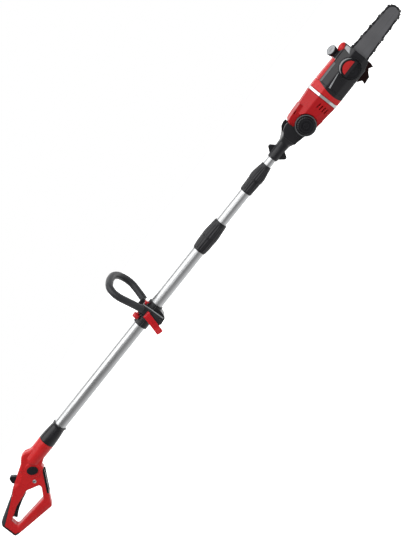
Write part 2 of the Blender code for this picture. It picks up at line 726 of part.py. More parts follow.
def make_yoke(head):
    """The adapter on the head tube, with two arms round the motor unit's tongue."""
    sections = []
    for x, half, low, high, corner in (
        (1.2500, 0.0172, -0.0172, 0.0172, 0.0165),
        (1.2720, 0.0200, -0.0180, 0.0180, 0.0150),
        (1.2880, 0.0320, -0.0215, 0.0225, 0.0060),
        (1.2960, ARM_OUTER, -0.0230, 0.0270, 0.0050),
    ):
        corners = [(-half, low, corner), (half, low, corner), (half, high, corner), (-half, high, corner)]
        sections.append([(x, y, z) for y, z in rounded(corners, 4)])
    yoke = build("yoke", loft(sections), "black_plastic")
    profile = [(1.2142, 0.0), (1.2142, 0.0160), (1.2200, 0.0172), (1.2600, 0.0172), (1.2600, 0.0)]
    join(yoke, turned(profile))
    wing = rounded([(1.2215, -0.0100, 0), (1.2250, -0.0195, 0.004), (1.2360, -0.0327, 0.003),
                    (1.2430, -0.0322, 0.003), (1.2560, -0.0120, 0)])
    for side in (1, -1):
        join(yoke, prism([(x, side * z) for x, z in wing], -0.0055, 0.0055))
    arm = [(1.2880, -0.0213), (1.2985, -0.0228), (1.3250, -0.0290)]
    arm += arc((PIVOT_X, PIVOT_Z), 0.0320, -136, 132, 22)
    arm += [(1.3265, 0.0160), (1.3268, 0.0362), (1.3165, 0.0370), (1.3040, 0.0335),
            (1.2960, 0.0265), (1.2880, 0.0215)]
    for side in (-1, 1):
        join(yoke, prism(arm, side * ARM_INNER, side * ARM_OUTER))
    centre = (PIVOT_X, 0, PIVOT_Z)
    join(yoke, tube((-0.0410, -0.0340), 0.0320, 0.0278, centre, "Y"))
    cut(yoke, rod((-0.06, -0.02), 0.0103, centre, "Y"))
    cut(yoke, rod((0.02, 0.06), 0.0083, centre, "Y"))
    cut(yoke, rod((1.20, 1.2625), HEAD_RADIUS + GAP))
    cut(yoke, rod((1.25, 1.30), 0.0060, segments=16))
    pin = build("pivot_pin", rod((-0.0235, 0.0352), 0.0079, centre, "Y"), "steel")
    attach(head, yoke, pin)
    body = pivot("tilt_button_slide", centre, head)
    profile = [(-0.0457, 0.0), (-0.0460, 0.0200), (-0.0445, 0.0268), (-0.0396, 0.0272),
               (-0.0396, 0.0100), (-0.0273, 0.0100), (-0.0273, 0.0)]
    attach(body, build("tilt_button", turned(profile, centre, "Y"), "black_plastic"))


def head_section(x, top=HEAD_TOP, ridge=RIDGE_Z, bottom=HEAD_BOTTOM, half=RIDGE_HALF, grow=0.0):
    """The head's cross-section: a narrow top, a ridge on each side and a narrower foot."""
    corners = [
        (half + grow, ridge, 0.006),
        (0.0140 + grow, top + grow, 0.006),
        (-0.0140 - grow, top + grow, 0.006),
        (-half - grow, ridge, 0.006),
        (-half * 0.93 - grow, bottom * 0.45, 0.010),
        (-0.0250 - grow, bottom - grow, 0.010),
        (0.0250 + grow, bottom - grow, 0.010),
        (half * 0.93 + grow, bottom * 0.45, 0.010),
    ]
    return [(x, y, z) for y, z in rounded(corners, 2)]


def motor_housing():
    rear = head_section(MOTOR_REAR, 0.0395, 0.0150, -0.0420, 0.0375)
    middle = head_section(1.400, 0.0430, 0.0155, -0.0460, 0.0405)
    housing = build("motor_housing", loft([rear, middle, head_section(MOTOR_FRONT)]), "red_plastic")
    centre = (PIVOT_X, PIVOT_Z)
    up, down = math.radians(68), math.radians(-46)
    reach = 0.12
    rear_gap = [centre, (PIVOT_X + reach * math.cos(up), PIVOT_Z + reach * math.sin(up)),
                (PIVOT_X - 0.05, PIVOT_Z + reach), (PIVOT_X - 0.05, PIVOT_Z - reach),
                (PIVOT_X + reach * math.cos(down), PIVOT_Z + reach * math.sin(down))]
    for side in (-1, 1):
        low, high = sorted((side * TONGUE_HALF, side * 0.08))
        cut(housing, prism(rear_gap, low, high))
        cut(housing, rod((low, high), 0.0345, (PIVOT_X, 0, PIVOT_Z), "Y", 40))
    tongue = [(1.3226, 0.0050), (1.3250, 0.0270), (1.3330, 0.0370), (1.3420, 0.0393),
              (1.3900, 0.0420), (1.3900, -0.0445), (1.3655, -0.0405)]
    tongue += arc(centre, 0.0305, -70, -210, 12)
    join(housing, prism(tongue, -TONGUE_HALF, TONGUE_HALF))
    return housing


def make_motor_unit(head):
    body = pivot("motor_tilt", (PIVOT_X, 0, PIVOT_Z), head)
    housing = motor_housing()
    centre = (PIVOT_X, 0, PIVOT_Z)
    drive = (0, DRIVE_Y, SAW_Z)
    cut(housing, rod((-0.05, 0.05), 0.0083, centre, "Y"))
    cut(housing, rod((-0.05, -0.0222), 0.0203, centre, "Y"))
    cut(housing, rod((1.3880, 1.4315), 0.0235, drive, segments=32))
    cut(housing, rod((1.4300, 1.46), 0.0265, (0, 0, 0), segments=32))
    right, left = halves(housing, ("motor_shell_right", "motor_shell_left"))
    ring = loft([head_section(x, grow=0.0006) for x in RING_SPAN])
    lock_ring = build("lock_ring", ring, "ring_metal")
    cut(lock_ring, rod((1.43, 1.46), 0.0265, segments=32))
    profile = [(1.3885, 0.0), (1.3885, 0.0200), (1.3910, 0.0230), (1.4280, 0.0230),
               (1.4295, 0.0200), (1.4295, 0.0045), (1.4000, 0.0045), (1.4000, 0.0)]
    motor = build("motor", turned(profile, drive), "copper_black")
    ring = tube((-0.0266, -0.0225), 0.0200, 0.0106, centre, "Y")
    detent = build("detent_ring", ring, "steel")
    cut(detent, rod((-0.03, -0.0245), 0.0022, (PIVOT_X, 0, PIVOT_Z + 0.0152), "Y", 12))
    attach(body, right, left, lock_ring, motor, detent)
    spin = pivot("motor_spin", drive, body)
    profile = [(1.4005, 0.0), (1.4005, 0.0042), (1.4310, 0.0042), (1.4310, 0.0070),
               (1.4395, 0.0070), (1.4395, 0.0)]
    attach(spin, build("motor_shaft", turned(profile, drive, segments=16), "steel"))
    return body


# Saw attachment


def toothed(start, end, teeth, tooth):
    """Points of evenly spaced cutters along a straight run, standing out on its left when seen from above."""
    a, b = Vector(start), Vector(end)
    along = (b - a).normalized()
    out = Vector((along.y, -along.x))
    spots = []
    for i in range(teeth):
        foot = a + along * (b - a).length * (i + 0.5) / teeth
        spots += [tuple(foot), tuple(foot + out * tooth), tuple(foot + along * 0.009 + out * tooth * 0.7),
                  tuple(foot + along * 0.010)]
    return spots


def belt(extra, teeth=0, tooth=0.0):
    """The chain's line round sprocket, bar shoulders and nose, grown by extra, with cutters outside it."""
    rear = math.degrees(math.asin((SHOULDER_RADIUS - TAIL_RADIUS) / (SHOULDER_X - SPROCKET_X)))
    front = math.degrees(math.asin((NOSE_RADIUS - SHOULDER_RADIUS) / (NOSE_X - SHOULDER_X)))
    nose = arc((NOSE_X, SAW_Z), NOSE_RADIUS + extra, -90 - front, 90 + front, 14)
    top = arc((SHOULDER_X, SAW_Z), SHOULDER_RADIUS + extra, 90 + front, 90 + rear, 3)
    tail = arc((SPROCKET_X, SAW_Z), TAIL_RADIUS + extra, 90 + rear, 270 - rear, 12)
    bottom = arc((SHOULDER_X, SAW_Z), SHOULDER_RADIUS + extra, 270 - rear, 270 - front, 3)
    upper_run = toothed(nose[-1], top[0], teeth, tooth)
    lower_run = toothed(bottom[-1], nose[0], teeth, tooth)
    return nose + upper_run + top + tail + bottom + lower_run


def make_bar_and_chain(body):
    low, high = BAR_Y - BAR_THICKNESS / 2, BAR_Y + BAR_THICKNESS / 2
    bar = build("guide_bar", prism(belt(0.0), low, high), "bar_steel")
    cut(bar, prism(box_outline((1.40, -0.1), (1.5310, 0.1)), -0.05, 0.05))
    slot = arc((1.5480, SAW_Z), 0.0043, 90, 270, 6) + arc((1.5720, SAW_Z), 0.0043, -90, 90, 6)
    cut(bar, prism(slot, -0.05, 0.05))
    low, high = BAR_Y - CHAIN_WIDTH / 2, BAR_Y + CHAIN_WIDTH / 2
    chain = build("saw_chain", prism(belt(0.0056, 4, 0.0018), low, high), "chain_steel")
    cut(chain, prism(belt(0.0004), -0.05, 0.05))
    profile = [(-0.0268, 0.0), (-0.0268, 0.0035), (0.0120, 0.0035), (0.0120, 0.0)]
    stud = build("bar_stud", turned(profile, (KNOB_X, 0, SAW_Z), "Y", 16), "steel")
    attach(body, bar, chain, stud)


def body_volume(name, material_name):
    """The attachment's outer shape, from the collar to the front face."""
    rear = head_section(BODY_SPAN[0])
    front = head_section(BODY_SPAN[1], 0.0440, 0.0150, -0.0500, 0.0400)
    return build(name, loft([rear, front]), material_name)


def make_cover(body):
    """The sprocket cover, which lifts off sideways once its knob is loosened."""
    part = pivot("cover_slide", (KNOB_X, BAR_Y, SAW_Z), body)
    cover = body_volume("sprocket_cover", "black_plastic")
    centre = (KNOB_X, 0, SAW_Z)
    keep(cover, prism(box_outline((1.47, -0.06), (1.61, 0.0380)), -0.08, -0.0115))
    join(cover, rod((-0.0450, -0.0200), 0.0335, centre, "Y", 40))
    cut(cover, rod((-0.06, -0.0355), 0.0302, centre, "Y", 40))
    cut(cover, rod((-0.06, 0.0), 0.0040, centre, "Y", 16))
    cut(cover, prism(belt(0.0100), -0.0245, 0.0))
    cut(cover, prism(box_outline((1.60, -0.0425), (1.62, 0.0265)), -0.0160, 0.0))
    attach(part, cover)
    knob_body = pivot("cover_knob_turn", centre, part)
    profile = [(-0.0358, 0.0037), (-0.0358, 0.0298), (-0.0425, 0.0298), (-0.0440, 0.0280), (-0.0440, 0.0037)]
    knob = build("cover_knob", turned(profile, centre, "Y", 32), "black_plastic")
    outline = rounded([(KNOB_X - 0.027, SAW_Z - 0.0045, 0.003), (KNOB_X + 0.027, SAW_Z - 0.0045, 0.003),
                       (KNOB_X + 0.027, SAW_Z + 0.0045, 0.003), (KNOB_X - 0.027, SAW_Z + 0.0045, 0.003)])
    join(knob, prism(outline, -0.0500, -0.0420))
    attach(knob_body, knob)
    return part


def make_gearbox(body):
    housing = body_volume("gear_housing", "black_plastic")
    keep(housing, prism(box_outline((1.47, -0.06), (1.61, 0.0290)), 0.0002, 0.08))
    drive = (0, DRIVE_Y, SAW_Z)
    axle = (SPROCKET_X, 0, SAW_Z)
    cut(housing, rod((1.46, 1.4850), 0.0058, drive))
    cut(housing, rod((1.4848, 1.5010), 0.0090, drive))
    cut(housing, rod((0.0140, 0.0285), 0.0192, axle, "Y"))
    cut(housing, rod((-0.01, 0.0145), 0.0085, axle, "Y"))
    cut(housing, rod((0.0280, 0.0350), 0.0048, axle, "Y"))
    cut(housing, rod((-0.01, 0.0125), 0.0038, (KNOB_X, 0, SAW_Z), "Y", 16))
    plate = [(1.5330, -0.0380), (1.6055, -0.0380), (1.6055, -0.0520), (1.6020, -0.0642), (1.5900, -0.0570),
             (1.5790, -0.0650), (1.5720, -0.0740), (1.5480, -0.0768), (1.5512, -0.0643), (1.5400, -0.0560)]
    spikes = build("bumper_spikes", prism(plate, -0.0036, -0.0002), "chain_steel")
    attach(body, housing, spikes)


def filler_neck():
    """The tank's neck, from a level foot inside the tank's top to a rim square to the tilted cap."""
    tilt = Matrix.Rotation(CAP_TILT, 3, "X")
    foot, rim = [], []
    for i in range(24):
        angle = 2 * math.pi * i / 24
        spoke = Vector((NECK_RADIUS * math.cos(angle), NECK_RADIUS * math.sin(angle), 0.0))
        foot.append(Vector((CAP_AT[0], 0.0035, 0.0415)) + spoke)
        rim.append(Vector(CAP_AT) + tilt @ (spoke - Vector((0.0, 0.0, GAP))))
    return loft([foot, rim])


def make_tank(body):
    tank = body_volume("oil_tank", "red_plastic")
    outline = [(0.0, 0.0295), (0.06, 0.0295), (0.06, 0.08), (-0.06, 0.08), (-0.06, 0.0385), (0.0, 0.0385)]
    keep(tank, prism(outline, 1.47, 1.61, on_yz))
    cut(tank, prism(box_outline((0.003, 0.0325), (0.020, 0.0400)), 1.4850, 1.5950, on_yz))
    join(tank, filler_neck())
    cut(tank, rod((0.0350, 0.08), 0.0065, (CAP_AT[0], 0.0055, 0), "Z", 16))
    attach(body, tank)
    centre = (CAP_AT[0], CAP_AT[1], 0.0)
    turn = pivot("cap_turn", CAP_AT, body)
    profile = [(CAP_AT[2], 0.0), (CAP_AT[2], 0.0158), (CAP_AT[2] + 0.0105, 0.0170),
               (CAP_AT[2] + 0.0125, 0.0158), (CAP_AT[2] + 0.0130, 0.0)]
    cap = build("oil_cap", turned(profile, centre, "Z"), "black_plastic")
    attach(turn, cap)
    turn.rotation_euler = (CAP_TILT, 0.0, 0.0)


def make_drive(body):
    """The attachment's drive: input shaft with pinion, bevel gear shaft and chain sprocket."""
    drive = Vector((SPROCKET_X, DRIVE_Y, SAW_Z))
    spin = pivot("input_spin", drive, body)
    profile = [(1.4400, 0.0), (1.4400, 0.0050), (1.4860, 0.0050), (1.4860, 0.0072),
               (1.4900, 0.0072), (1.4968, 0.0042), (1.4968, 0.0)]
    attach(spin, build("drive_pinion", turned(profile, (0, DRIVE_Y, SAW_Z), segments=20), "steel"))
    turn = pivot("sprocket_spin", (SPROCKET_X, 0, SAW_Z), body)
    axle = (SPROCKET_X, 0, SAW_Z)
    profile = [(-0.0210, 0.0), (-0.0210, 0.0040), (0.0165, 0.0040), (0.0165, 0.0100),
               (0.0198, 0.0178), (0.0270, 0.0178), (0.0270, 0.0045), (0.0345, 0.0045), (0.0345, 0.0)]
    attach(turn, build("bevel_gear", turned(profile, axle, "Y", 24), "steel"))
    star = []
    for tooth in range(6):
        for step, radius in ((0, 0.0180), (20, 0.0150), (40, 0.0150)):
            angle = math.radians(tooth * 60 + step)
            star.append((SPROCKET_X + radius * math.cos(angle), SAW_Z + radius * math.sin(angle)))
    sprocket = build("drive_sprocket", prism(star, -0.0105, -0.0045), "steel")
    cut(sprocket, rod((-0.05, 0.05), 0.0043, axle, "Y"))
    attach(turn, sprocket)


def make_attachment(motor_unit):
    body = pivot("attachment_slide", (COLLAR_SPAN[0], 0, SAW_Z), motor_unit)
    collar = build("attachment_collar", loft([head_section(x) for x in COLLAR_SPAN]), "red_plastic")
    join(collar, rod((1.4402, 1.4600), 0.0260, segments=32))
    cut(collar, rod((1.43, 1.48), 0.0078, (0, DRIVE_Y, SAW_Z)))
    attach(body, collar)
    make_gearbox(body)
    make_tank(body)
    make_drive(body)
    make_bar_and_chain(body)
    make_cover(body)


def main():
    clear_scene()
    root = pivot("handle_root", (0, 0, 0))
    make_handle(root)
    make_handle_fittings(root)
    make_trigger(root)
    make_lock_off(root)
    head = make_pole(root)
    clamp = make_clamp(root)
    make_lock_bar(clamp)
    loop = make_loop(clamp)
    make_lever(loop)
    make_yoke(head)
    make_attachment(make_motor_unit(head))


main()
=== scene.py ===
"""Looks for the telescoping pole saw: moulded shapes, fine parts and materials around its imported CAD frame.

Metres, in the CAD's own axes: +X forward along the pole, +Z up, -Y the tool's right-hand side.
"""

import json
import math

import bmesh
import bpy
from mathutils import Matrix, Vector

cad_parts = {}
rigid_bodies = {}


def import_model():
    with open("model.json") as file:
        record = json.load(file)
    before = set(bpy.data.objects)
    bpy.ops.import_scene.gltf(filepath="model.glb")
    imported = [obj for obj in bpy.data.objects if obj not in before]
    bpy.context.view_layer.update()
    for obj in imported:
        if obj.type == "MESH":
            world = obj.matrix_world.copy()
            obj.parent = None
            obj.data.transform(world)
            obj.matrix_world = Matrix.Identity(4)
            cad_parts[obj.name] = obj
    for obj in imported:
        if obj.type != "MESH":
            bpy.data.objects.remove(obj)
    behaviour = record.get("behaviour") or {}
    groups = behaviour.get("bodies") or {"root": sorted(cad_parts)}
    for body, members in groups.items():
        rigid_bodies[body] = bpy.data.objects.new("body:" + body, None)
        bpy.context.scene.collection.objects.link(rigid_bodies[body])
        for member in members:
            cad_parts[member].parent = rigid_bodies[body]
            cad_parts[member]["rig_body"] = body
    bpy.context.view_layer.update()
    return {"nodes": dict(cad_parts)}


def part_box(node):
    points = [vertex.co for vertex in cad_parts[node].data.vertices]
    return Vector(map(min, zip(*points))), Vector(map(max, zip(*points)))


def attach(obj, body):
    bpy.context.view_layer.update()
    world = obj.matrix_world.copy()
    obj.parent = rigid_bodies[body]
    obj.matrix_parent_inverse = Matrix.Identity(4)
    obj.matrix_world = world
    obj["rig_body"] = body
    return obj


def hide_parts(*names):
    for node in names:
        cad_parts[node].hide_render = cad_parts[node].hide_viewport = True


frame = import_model()

MM = 0.001

# The two halves of a mirrored part, and the sign of Y on each.
SIDES = (("right", -1), ("left", 1))

# The handle's half thickness, and the outline edges that carry a bevel, as (X, Z) ends.
HANDLE_HALF = 17.5 * MM
STRUT_EDGE = ((-0.0655, -0.1395), (-0.2040, -0.1135))
SHOULDER_EDGE = ((-0.0120, 0.0200), (-0.0950, -0.0085))

# Where each bevel starts and fades out, as (share of the edge, how far out the wedge lifts).
STRUT_CUTS = ((-0.15, 0.0), (0.82, 0.0), (1.0, 6 * MM))
SHOULDER_CUTS = ((0.12, 8 * MM), (0.28, 0.0), (0.70, 0.0), (1.12, 8 * MM))

# Radii in the pole: the bore round the outer tube, then each collar's bore, its nut's throat and front end.
SLEEVE_BORE = 19.6 * MM
COLLAR_RADII = {1: (19.6 * MM, 17.5 * MM, 20.2 * MM), 2: (17.3 * MM, 14.1 * MM, 15.6 * MM)}

# The cam lever's length direction, and the direction across its face.
LEVER_DOWN = Vector((-0.290, 0, -0.957))
LEVER_ACROSS = Vector((0.957, 0, -0.290))

# The head's cross-section: |Y| is greatest at the ridge, and smaller at the top and the foot.
RIDGE = (42.0 * MM, 15.5 * MM)
TOP = (14.0 * MM, 46.7 * MM)
FOOT = (25.0 * MM, -50.5 * MM)

# A depth outside the head on its right-hand side, where the cover's black area and its painted highlights and
# sheen start.
FAR_RIGHT = -80 * MM

# The motor's two rows of vents: where each starts, the steps to the next one, and a vent's lean and size. The
# lean is a slope, X is in metres, and the rest is in millimetres.
VENT_ROWS = (
    {"x": 1.4195, "z": -3.0, "x_step": -0.4, "z_step": -9.4, "lean": -0.12, "length": 17, "width": 4.2},
    {"x": 1.3590, "z": 21.5, "x_step": 1.6, "z_step": 6.8, "lean": 0.1, "length": 13, "width": 3.0},
)
VENTS_IN_ROW = 4

# A vent's cutter: its depth, and how far its middle stands outside the head's plain cross-section.
VENT_DEPTH = 16 * MM
VENT_RISE = 3.5 * MM

# The oil cap's base and how far it leans to the right, and the crown under it as (height, half length) in
# millimetres.
CAP_AT = (1.5640, 0.0010, 0.0545)
CAP_TILT = math.radians(28)
CROWN_AT = (1.5905, -6.0 * MM)
CROWN_RINGS = ((34.0, 15.5), (42.0, 15.5), (47.0, 14.6), (50.4, 12.4), (52.6, 9.0), (53.8, 4.8), (54.1, 1.5))

# The radius of the knob's red half, and of the crescent of painted highlight over it with how much that
# swells.
KNOB_HALF_RADIUS = 23.5 * MM
CRESCENT_RADIUS = 29.6 * MM
CRESCENT_SWELL = 4.2 * MM

# The chain's line: the radii at the sprocket, the bar's shoulder and its nose, and where the shoulder is.
TAIL_RADIUS = 18.4 * MM
SHOULDER_X = 1.600
SHOULDER_RADIUS = 25.0 * MM
NOSE_RADIUS = 17.8 * MM

# The chain's pitch from rivet to rivet, how often a cutter comes, and where the rivets run outside the bar.
PITCH = 9.525 * MM
LINKS_PER_CUTTER = 4
RIVET_LINE = 3.1 * MM

# Chain plates as (along, outwards) millimetres from a rivet.
STRAP = [(-3.0, -1.4), (-1.6, -2.7), (1.4, -2.9), (4.7, -2.2), (8.1, -2.9), (11.1, -2.7), (12.5, -1.4),
         (12.5, 1.3), (11.1, 2.8), (8.6, 3.0), (4.7, 2.1), (0.8, 3.0), (-1.6, 2.8), (-3.0, 1.3)]
DRIVE = [(-2.6, -2.2), (1.8, -3.0), (4.2, -6.0), (5.6, -6.0), (8.0, -3.0), (12.1, -2.2), (12.1, 2.0),
         (9.8, 2.9), (6.0, 3.6), (3.5, 3.6), (-0.4, 2.9), (-2.6, 2.0)]
TOOTH = [(-3.0, -1.4), (-1.6, -2.7), (11.1, -2.7), (12.5, -1.4), (12.7, 2.4), (12.2, 5.0), (5.6, 5.9),
         (4.3, 3.2), (3.0, 1.9), (1.8, 3.4), (0.4, 5.1), (-1.6, 4.2), (-3.0, 1.3)]
TOOTH_TOP = [(5.8, 4.9), (12.2, 4.0), (12.3, 5.0), (5.7, 5.9)]

# Camera: where the tool is seen from, and at what angle.
CAMERA_AT = (1.55, -3.7308, 0.722)
CAMERA_TURN = 0.19298
CAMERA_DIP = 0.19877
CAMERA_ROLL = -0.93452
LENS = 86.27

# The floor's height, centre and radius, its painted shade in front of the tool, and the two tones it drifts
# between.
FLOOR = -1.1
FLOOR_CENTRE = (1.5, 1.5)
FLOOR_RADIUS = 7.0
FLOOR_FRONT_SHADE = (0.38, 0.38, 0.38)
FLOOR_PALE = (0.86, 0.86, 0.86)
FLOOR_PALER = (0.88, 0.88, 0.88)

# Ramps from front to back as (start, end, value before, value after): the floor's change from painted shade
# to pale, its glow, and the studio's brightness.
SHADE_TO_PALE_RAMP = (-2.7, -1.5, 0.0, 1.0)
GLOW_RAMP = (-1.3, 0.8, 0.0, 0.55)
STUDIO_RAMP = (-0.5, 0.7, 0.28, 1.0)
WHITE = (1.0, 1.0, 1.0, 1.0)

# Soft lamps: name, place, the point each faces, size and power.
LAMPS = (("key", (0.7, -1.4, 3.0), (0.8, 0.0, 0.0), (4.2, 3.4), 120.0),
         ("fill", (1.5, -4.4, 1.6), (0.8, 0.0, 0.0), (4.0, 2.4), 55.0),
         ("backdrop", (2.5, 8.0, 4.5), (2.5, 8.5, FLOOR), (16.0, 8.0), 600.0))

# Most of a noise's values lie in this range, and pointiness passes through this one at a worn edge.
NOISE_RANGE = (0.3, 0.7)
EDGE_RANGE = (0.53, 0.62)


def middle_of(node):
    """The middle of a CAD node's box."""
    low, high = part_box(node)
    return (low + high) / 2


def mm(points, start=0.0, level=0.0):
    """Points in millimetres from a start and a level, as metres."""
    return [(start + a * MM, level + b * MM) for a, b in points]


# Materials


def nodes_for(name):
    """A new material, its node tree and its shader."""
    made = bpy.data.materials.new(name)
    made.use_nodes = True
    tree = made.node_tree
    return made, tree, tree.nodes["Principled BSDF"]


def add(tree, kind, **values):
    """Adds a node, setting sockets by name and everything else as an attribute."""
    node = tree.nodes.new(kind)
    for key, value in values.items():
        if key in node.inputs:
            node.inputs[key].default_value = value
        else:
            setattr(node, key, value)
    return node


def noise(tree, scale, detail=3.0, stretch=(1.0, 1.0, 1.0)):
    """A noise's value, in the object's own metres."""
    place = add(tree, "ShaderNodeTexCoord")
    mapping = add(tree, "ShaderNodeMapping", Scale=stretch)
    tree.links.new(place.outputs["Object"], mapping.inputs["Vector"])
    made = add(tree, "ShaderNodeTexNoise", Scale=scale, Detail=detail)
    tree.links.new(mapping.outputs["Vector"], made.inputs["Vector"])
    return made.outputs["Fac"]


def ramp(tree, value, start, end, low, high):
    """Maps a value between start and end onto low to high, and holds it beyond them."""
    made = add(tree, "ShaderNodeMapRange")
    for name, number in (("From Min", start), ("From Max", end), ("To Min", low), ("To Max", high)):
        made.inputs[name].default_value = number
    tree.links.new(value, made.inputs["Value"])
    return made.outputs["Result"]


def mixed(tree, factor, first, second):
    """Mixes two colours, each given as three numbers or as a socket."""
    made = add(tree, "ShaderNodeMix", data_type="RGBA")
    colours = [socket for socket in made.inputs if socket.type == "RGBA"]
    for socket, colour in zip(colours, (first, second)):
        if isinstance(colour, tuple):
            socket.default_value = (*colour, 1.0)
        else:
            tree.links.new(colour, socket)
    tree.links.new(factor, made.inputs["Factor"])
    return [socket for socket in made.outputs if socket.type == "RGBA"][0]


def bumped(tree, shader, height, strength, distance):
    """Gives a shader a fine relief from a height socket."""
    made = add(tree, "ShaderNodeBump", Strength=strength, Distance=distance)
    tree.links.new(height, made.inputs["Height"])
    tree.links.new(made.outputs["Normal"], shader.inputs["Normal"])


def edge_wear(tree, colour, worn, amount):
    """Lightens the colour where an edge sticks out, as handling does."""
    geometry = add(tree, "ShaderNodeNewGeometry")
    edges = ramp(tree, geometry.outputs["Pointiness"], *EDGE_RANGE, 0.0, amount)
    return mixed(tree, edges, colour, worn)


def plastic(name, colour, roughness, grain, grain_size, mottle, wear=0.0, worn=(0.6, 0.6, 0.6), specular=0.5):
    """Moulded plastic: fine spark-eroded grain, slight colour drift and uneven gloss."""
    made, tree, shader = nodes_for(name)
    drift = noise(tree, scale=22.0, detail=4.0)
    fine = noise(tree, scale=1.0 / grain_size, detail=2.0)
    darker = tuple(channel * (1.0 - mottle) for channel in colour)
    lighter = tuple(min(1.0, channel * (1.0 + mottle)) for channel in colour)
    result = mixed(tree, ramp(tree, drift, *NOISE_RANGE, 0.0, 1.0), darker, lighter)
    if wear:
        result = edge_wear(tree, result, worn, wear)
    tree.links.new(result, shader.inputs["Base Color"])
    gloss = ramp(tree, drift, *NOISE_RANGE, roughness - 0.05, roughness + 0.06)
    tree.links.new(gloss, shader.inputs["Roughness"])
    shader.inputs["Specular IOR Level"].default_value = specular
    bumped(tree, shader, fine, grain, 0.3 * MM)
    return made


def metal(name, colour, roughness, stretch, streak, mottle=0.08):
    """Worked metal: fine streaks along one direction in its colour, gloss and surface."""
    made, tree, shader = nodes_for(name)
    lines = noise(tree, scale=1.0, stretch=stretch)
    drift = noise(tree, scale=14.0)
    darker = tuple(channel * (1.0 - mottle) for channel in colour)
    result = mixed(tree, ramp(tree, lines, *NOISE_RANGE, 0.0, 1.0), darker, colour)
    tree.links.new(result, shader.inputs["Base Color"])
    gloss = ramp(tree, drift, *NOISE_RANGE, roughness - 0.04, roughness + 0.05)
    tree.links.new(gloss, shader.inputs["Roughness"])
    shader.inputs["Metallic"].default_value = 1.0
    bumped(tree, shader, lines, streak, 0.1 * MM)
    return made


RED = plastic("red_plastic_look", (0.50, 0.014, 0.016), roughness=0.28, grain=0.10, grain_size=0.9 * MM,
              mottle=0.06, wear=0.10, worn=(0.75, 0.12, 0.12), specular=0.24)
# The motor's red is a darker copy of the red plastic: painted shade that offsets the stronger light on the
# motor's upward faces.
SHADED_MOTOR_RED = plastic("motor_red_painted_shade_look", (0.40, 0.009, 0.012), roughness=0.30, grain=0.10, grain_size=0.9 * MM,
                    mottle=0.06, wear=0.10, worn=(0.62, 0.08, 0.08), specular=0.15)
LEVER_RED = plastic("lever_red_look", (0.52, 0.010, 0.016), roughness=0.28, grain=0.08, grain_size=0.8 * MM,
                    mottle=0.05, wear=0.10, worn=(0.8, 0.15, 0.15), specular=0.30)
BLACK = plastic("black_plastic_look", (0.009, 0.009, 0.011), roughness=0.30, grain=0.16, grain_size=0.8 * MM,
                mottle=0.20, wear=0.12, worn=(0.08, 0.08, 0.09), specular=0.30)
SMOOTH_BLACK = plastic("smooth_black_look", (0.008, 0.008, 0.010), roughness=0.24, grain=0.07,
                       grain_size=0.7 * MM, mottle=0.15, wear=0.10, worn=(0.08, 0.08, 0.09), specular=0.30)
RUBBER = plastic("rubber_look", (0.028, 0.030, 0.034), roughness=0.62, grain=0.55, grain_size=1.3 * MM,
                 mottle=0.14, wear=0.10, worn=(0.09, 0.09, 0.09), specular=0.35)
FOAM = plastic("foam_look", (0.014, 0.015, 0.018), roughness=0.48, grain=0.40, grain_size=1.4 * MM,
               mottle=0.20, wear=0.08, worn=(0.07, 0.07, 0.07), specular=0.45)
# Grey plastic for the collets and the cap's face, also used for painted highlights on black parts.
GREY_AND_HIGHLIGHT = plastic("grey_plastic_and_highlight_look", (0.30, 0.31, 0.32), roughness=0.42, grain=0.12, grain_size=0.8 * MM,
               mottle=0.06, wear=0.10)
# A dim grey that stands for sheen: painted highlight on black parts.
DIM_SHEEN = plastic("dim_grey_sheen_look", (0.075, 0.077, 0.082), roughness=0.36, grain=0.12, grain_size=0.8 * MM,
              mottle=0.10, wear=0.10, worn=(0.2, 0.2, 0.2))
DARK = plastic("inner_black_look", (0.005, 0.005, 0.006), roughness=0.65, grain=0.20, grain_size=0.9 * MM,
               mottle=0.20)
ALUMINIUM = metal("aluminium_look", (0.44, 0.445, 0.45), 0.30, (2.0, 260.0, 260.0), 0.02, mottle=0.05)
RING = metal("ring_look", (0.60, 0.60, 0.60), 0.28, (900.0, 6.0, 6.0), 0.10)
BAR = metal("bar_look", (0.21, 0.21, 0.22), 0.38, (6.0, 900.0, 900.0), 0.14, mottle=0.16)
CHAIN = metal("chain_look", (0.055, 0.055, 0.060), 0.36, (300.0, 300.0, 300.0), 0.20, mottle=0.30)
CUTTER = metal("cutter_look", (0.17, 0.17, 0.175), 0.30, (300.0, 300.0, 300.0), 0.10)
STEEL = metal("steel_look", (0.50, 0.50, 0.52), 0.30, (400.0, 400.0, 400.0), 0.10)
OXIDE = metal("black_oxide_look", (0.070, 0.070, 0.075), 0.40, (400.0, 400.0, 400.0), 0.12, mottle=0.20)
SPIKE = metal("spike_look", (0.026, 0.013, 0.013), 0.38, (300.0, 300.0, 300.0), 0.20, mottle=0.30)


# Mesh building


def show(name, geometry, material, body, smooth_angle=35):
    """Makes a piece from a bmesh, gives it a material and rides it on a body."""
    bmesh.ops.recalc_face_normals(geometry, faces=geometry.faces)
    mesh = bpy.data.meshes.new(name)
    geometry.to_mesh(mesh)
    geometry.free()
    mesh.shade_smooth()
    mesh.set_sharp_from_angle(angle=math.radians(smooth_angle))
    piece = bpy.data.objects.new(name, mesh)
    piece.data.materials.append(material)
    bpy.context.scene.collection.objects.link(piece)
    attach(piece, body)
    return piece


def loft(sections):
    """A closed solid through sections that have the same number of points."""
    geometry = bmesh.new()
    rings = []
    for section in sections:
        rings.append([geometry.verts.new(point) for point in section])
    count = len(rings[0])
    for near, far in zip(rings, rings[1:]):
        for i in range(count):
            j = (i + 1) % count
            geometry.faces.new((near[i], near[j], far[j], far[i]))
    geometry.faces.new(rings[0])
    geometry.faces.new(list(reversed(rings[-1])))
    return geometry


def prism(outline, low, high, place):
    """An outline drawn out between two depths, with place giving each point from (a, b, depth)."""
    return loft([[place(a, b, depth) for a, b in outline] for depth in (low, high)])


def on_xz(a, b, depth):
    return (a, depth, b)


